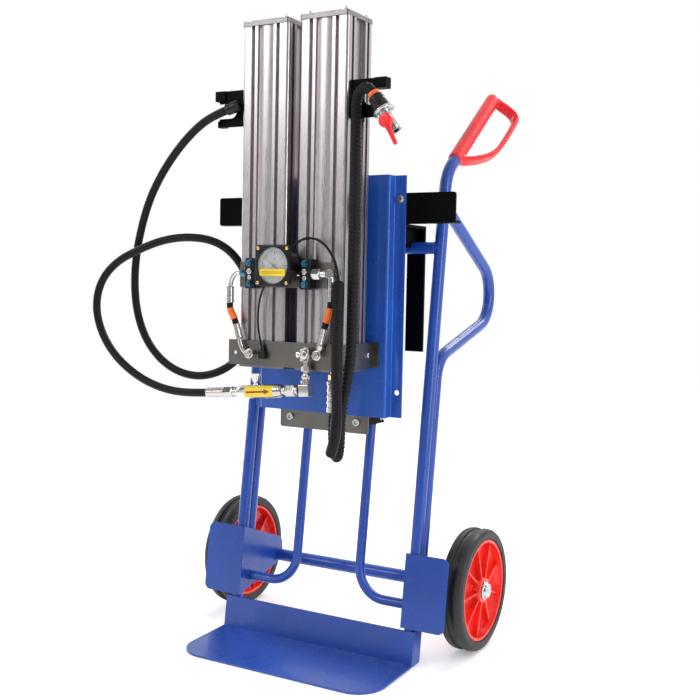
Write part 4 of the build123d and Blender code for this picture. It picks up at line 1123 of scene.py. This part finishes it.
# ---------------------------------------------------------------- hose ends and ball valve
def make_hose_ends():
    shiny = bmesh.new()
    tilt = math.radians(5)
    direction = Vector((-math.cos(tilt), 0, -math.sin(tilt)))
    start = Vector((52, -15, 552)) + direction * 196.1
    turned_into(shiny, start, direction, crimp_profile(43.8, 10.4, 4), segments=48)
    turned_into(shiny, (72, 51, 567), (0, 0, -1), crimp_profile(63, 13.4, 4), segments=48)
    ends = add_object("crimped_ferrules", shiny, "chrome", MODULE, bevel=0.2)
    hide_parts("hose_ferrules")
    nipple = bmesh.new()
    turned_into(nipple, (72, 51, 588.2), (0, 0, -1), [(0, 0), (0, 7.2), (9, 7.2), (9, 0)])
    hex_into(nipple, (72, 51, 580), (72, 51, 567.4), 19, chamfer=1.0)
    port = add_object("port_nipple", nipple, "brass", MODULE, bevel=0.3)
    dark = bmesh.new()
    grip = [(0, 10.6), (0, 13.6), (1.2, 14.8), (8, 14.9), (9, 13.8), (12.5, 13.8), (13.6, 15.2), (19, 15.2),
            (20.2, 14.4), (21.6, 14.4), (22.8, 16.4), (27, 16.4), (28.3, 15.2), (28.3, 0)]
    turned_into(dark, VALVE_START, VALVE_AXIS, grip, segments=56)
    plug_axis = Vector((29.5, 0, 7.3))
    collar = [(0, 8.6), (0, 10.4), (1, 11.4), (9, 11.4), (10, 10.6), (12, 10.6), (13, 11.6), (27, 11.6),
              (29, 10.4), (30, 8), (30, 0)]
    turned_into(dark, (-157.5, 0, 1100.7), plug_axis, collar, segments=48)
    swivel = add_object("hose_couplings", dark, "black", MODULE)
    band = bmesh.new()
    path = resampled(smooth_path([VALVE_START - VALVE_AXIS * 9, VALVE_START - VALVE_AXIS * 1.0]), 1.0)
    tube_into(band, path, lambda along, angle: 11.6 - 0.5 * (along / 4 - 1) ** 2, 40)
    add_object("coupling_ring", band, "orange", MODULE)


def valve_place(distance):
    return VALVE_START + VALVE_AXIS * distance


def make_ball_valve():
    bm = bmesh.new()
    profile = [(28.6, 10), (28.6, 17), (29.4, 19.8), (30.8, 20.9), (33.8, 20.9), (35.4, 19.6), (36, 17),
               (36, 12.4), (37, 11.6), (41, 11.6), (42, 12.0), (74, 12.0), (75.4, 11.4), (77.9, 11.0),
               (77.9, 6.2), (68, 6.0)]
    turned_into(bm, VALVE_START, VALVE_AXIS, profile, segments=56)
    x, y, z = valve_place(LEVER_AT)
    neck = [(9.5, 9.4), (10.5, 9.0), (14.4, 9.0), (15.0, 8.4), (15.0, 3.7)]
    turned_into(bm, (x, y, z), (0, -1, 0), neck, segments=40)
    body = add_object("ball_valve_shell", bm, "zinc", MODULE, bevel=0.2)
    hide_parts("valve_body")


def make_lever():
    x, y, z = valve_place(LEVER_AT)
    near = y - 15.5
    swing = math.atan2(VALVE_AXIS.x, -VALVE_AXIS.z) - LEVER_SWING
    bm = bmesh.new()
    hub = [(0, 0), (0, 12.4), (0.8, 13.3), (4, 13.5), (8.4, 13.2), (10.2, 11.8), (11, 9), (11, 4.2),
           (10.2, 3.6), (10.2, 0)]
    turned_into(bm, (x, near, z), (0, -1, 0), hub, segments=48)
    along = Vector((math.sin(swing), 0, -math.cos(swing)))
    start = Vector((x, near - 6, z))
    arm = [(0, 7.4), (12, 6.4), (24, 4.8), (38, 4.2), (46, 4.2), (48.6, 3.6), (49.8, 1.8), (50.1, 0)]
    place = placed(start, along, Vector((0, 1, 0)))
    flat = place @ Matrix.Diagonal((1.0, 0.82, 1.0, 1.0))
    lathe_into(bm, [(0, 0)] + arm, flat, 32)
    piece = add_object("lever_moulding", bm, "lever", MODULE, "lever")
    merged = piece.modifiers.new("merged", "REMESH")
    merged.mode = "VOXEL"
    merged.voxel_size = 0.6 * MM
    merged.use_smooth_shade = True
    softened = piece.modifiers.new("softened", "SMOOTH")
    softened.iterations = 6
    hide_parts("valve_lever")


# ---------------------------------------------------------------- floor
def make_floor():
    bm = bmesh.new()
    prism_into(bm, rounded_rectangle(9000, 9000, 400, 6), -8, -0.4, Matrix())
    mesh = bpy.data.meshes.new("studio_floor")
    bm.to_mesh(mesh)
    bm.free()
    mesh.transform(Matrix.Scale(MM, 4))
    floor = bpy.data.objects.new("studio_floor", mesh)
    bpy.context.scene.collection.objects.link(floor)
    shader = Shader("pale_floor")
    shader.colour(shader.noise(2), (0.95, 0.95, 0.95), (0.98, 0.98, 0.98))
    shader.bsdf.inputs["Emission Color"].default_value = (1, 1, 1, 1)
    shader.bsdf.inputs["Emission Strength"].default_value = 0.24
    shader.roughness(shader.noise(8), 0.7, 0.8)
    mesh.materials.append(shader.material)


# ---------------------------------------------------------------- put together
make_camera()
make_supply_hose()
make_valve_hose()
make_conduit()
make_thin_cords()
make_studio()
dress_carried_nodes()
for side in ("left", "right"):
    make_grip(side)
    make_wheel(side)
make_hub_caps()
make_back_panel()
make_weld_beads()
make_gauge()
make_needle()
make_clamps()
make_gauge_hoses()
make_gauge_fittings()
make_throttle()
make_knob()
make_hose_ends()
make_ball_valve()
make_lever()
make_floor()
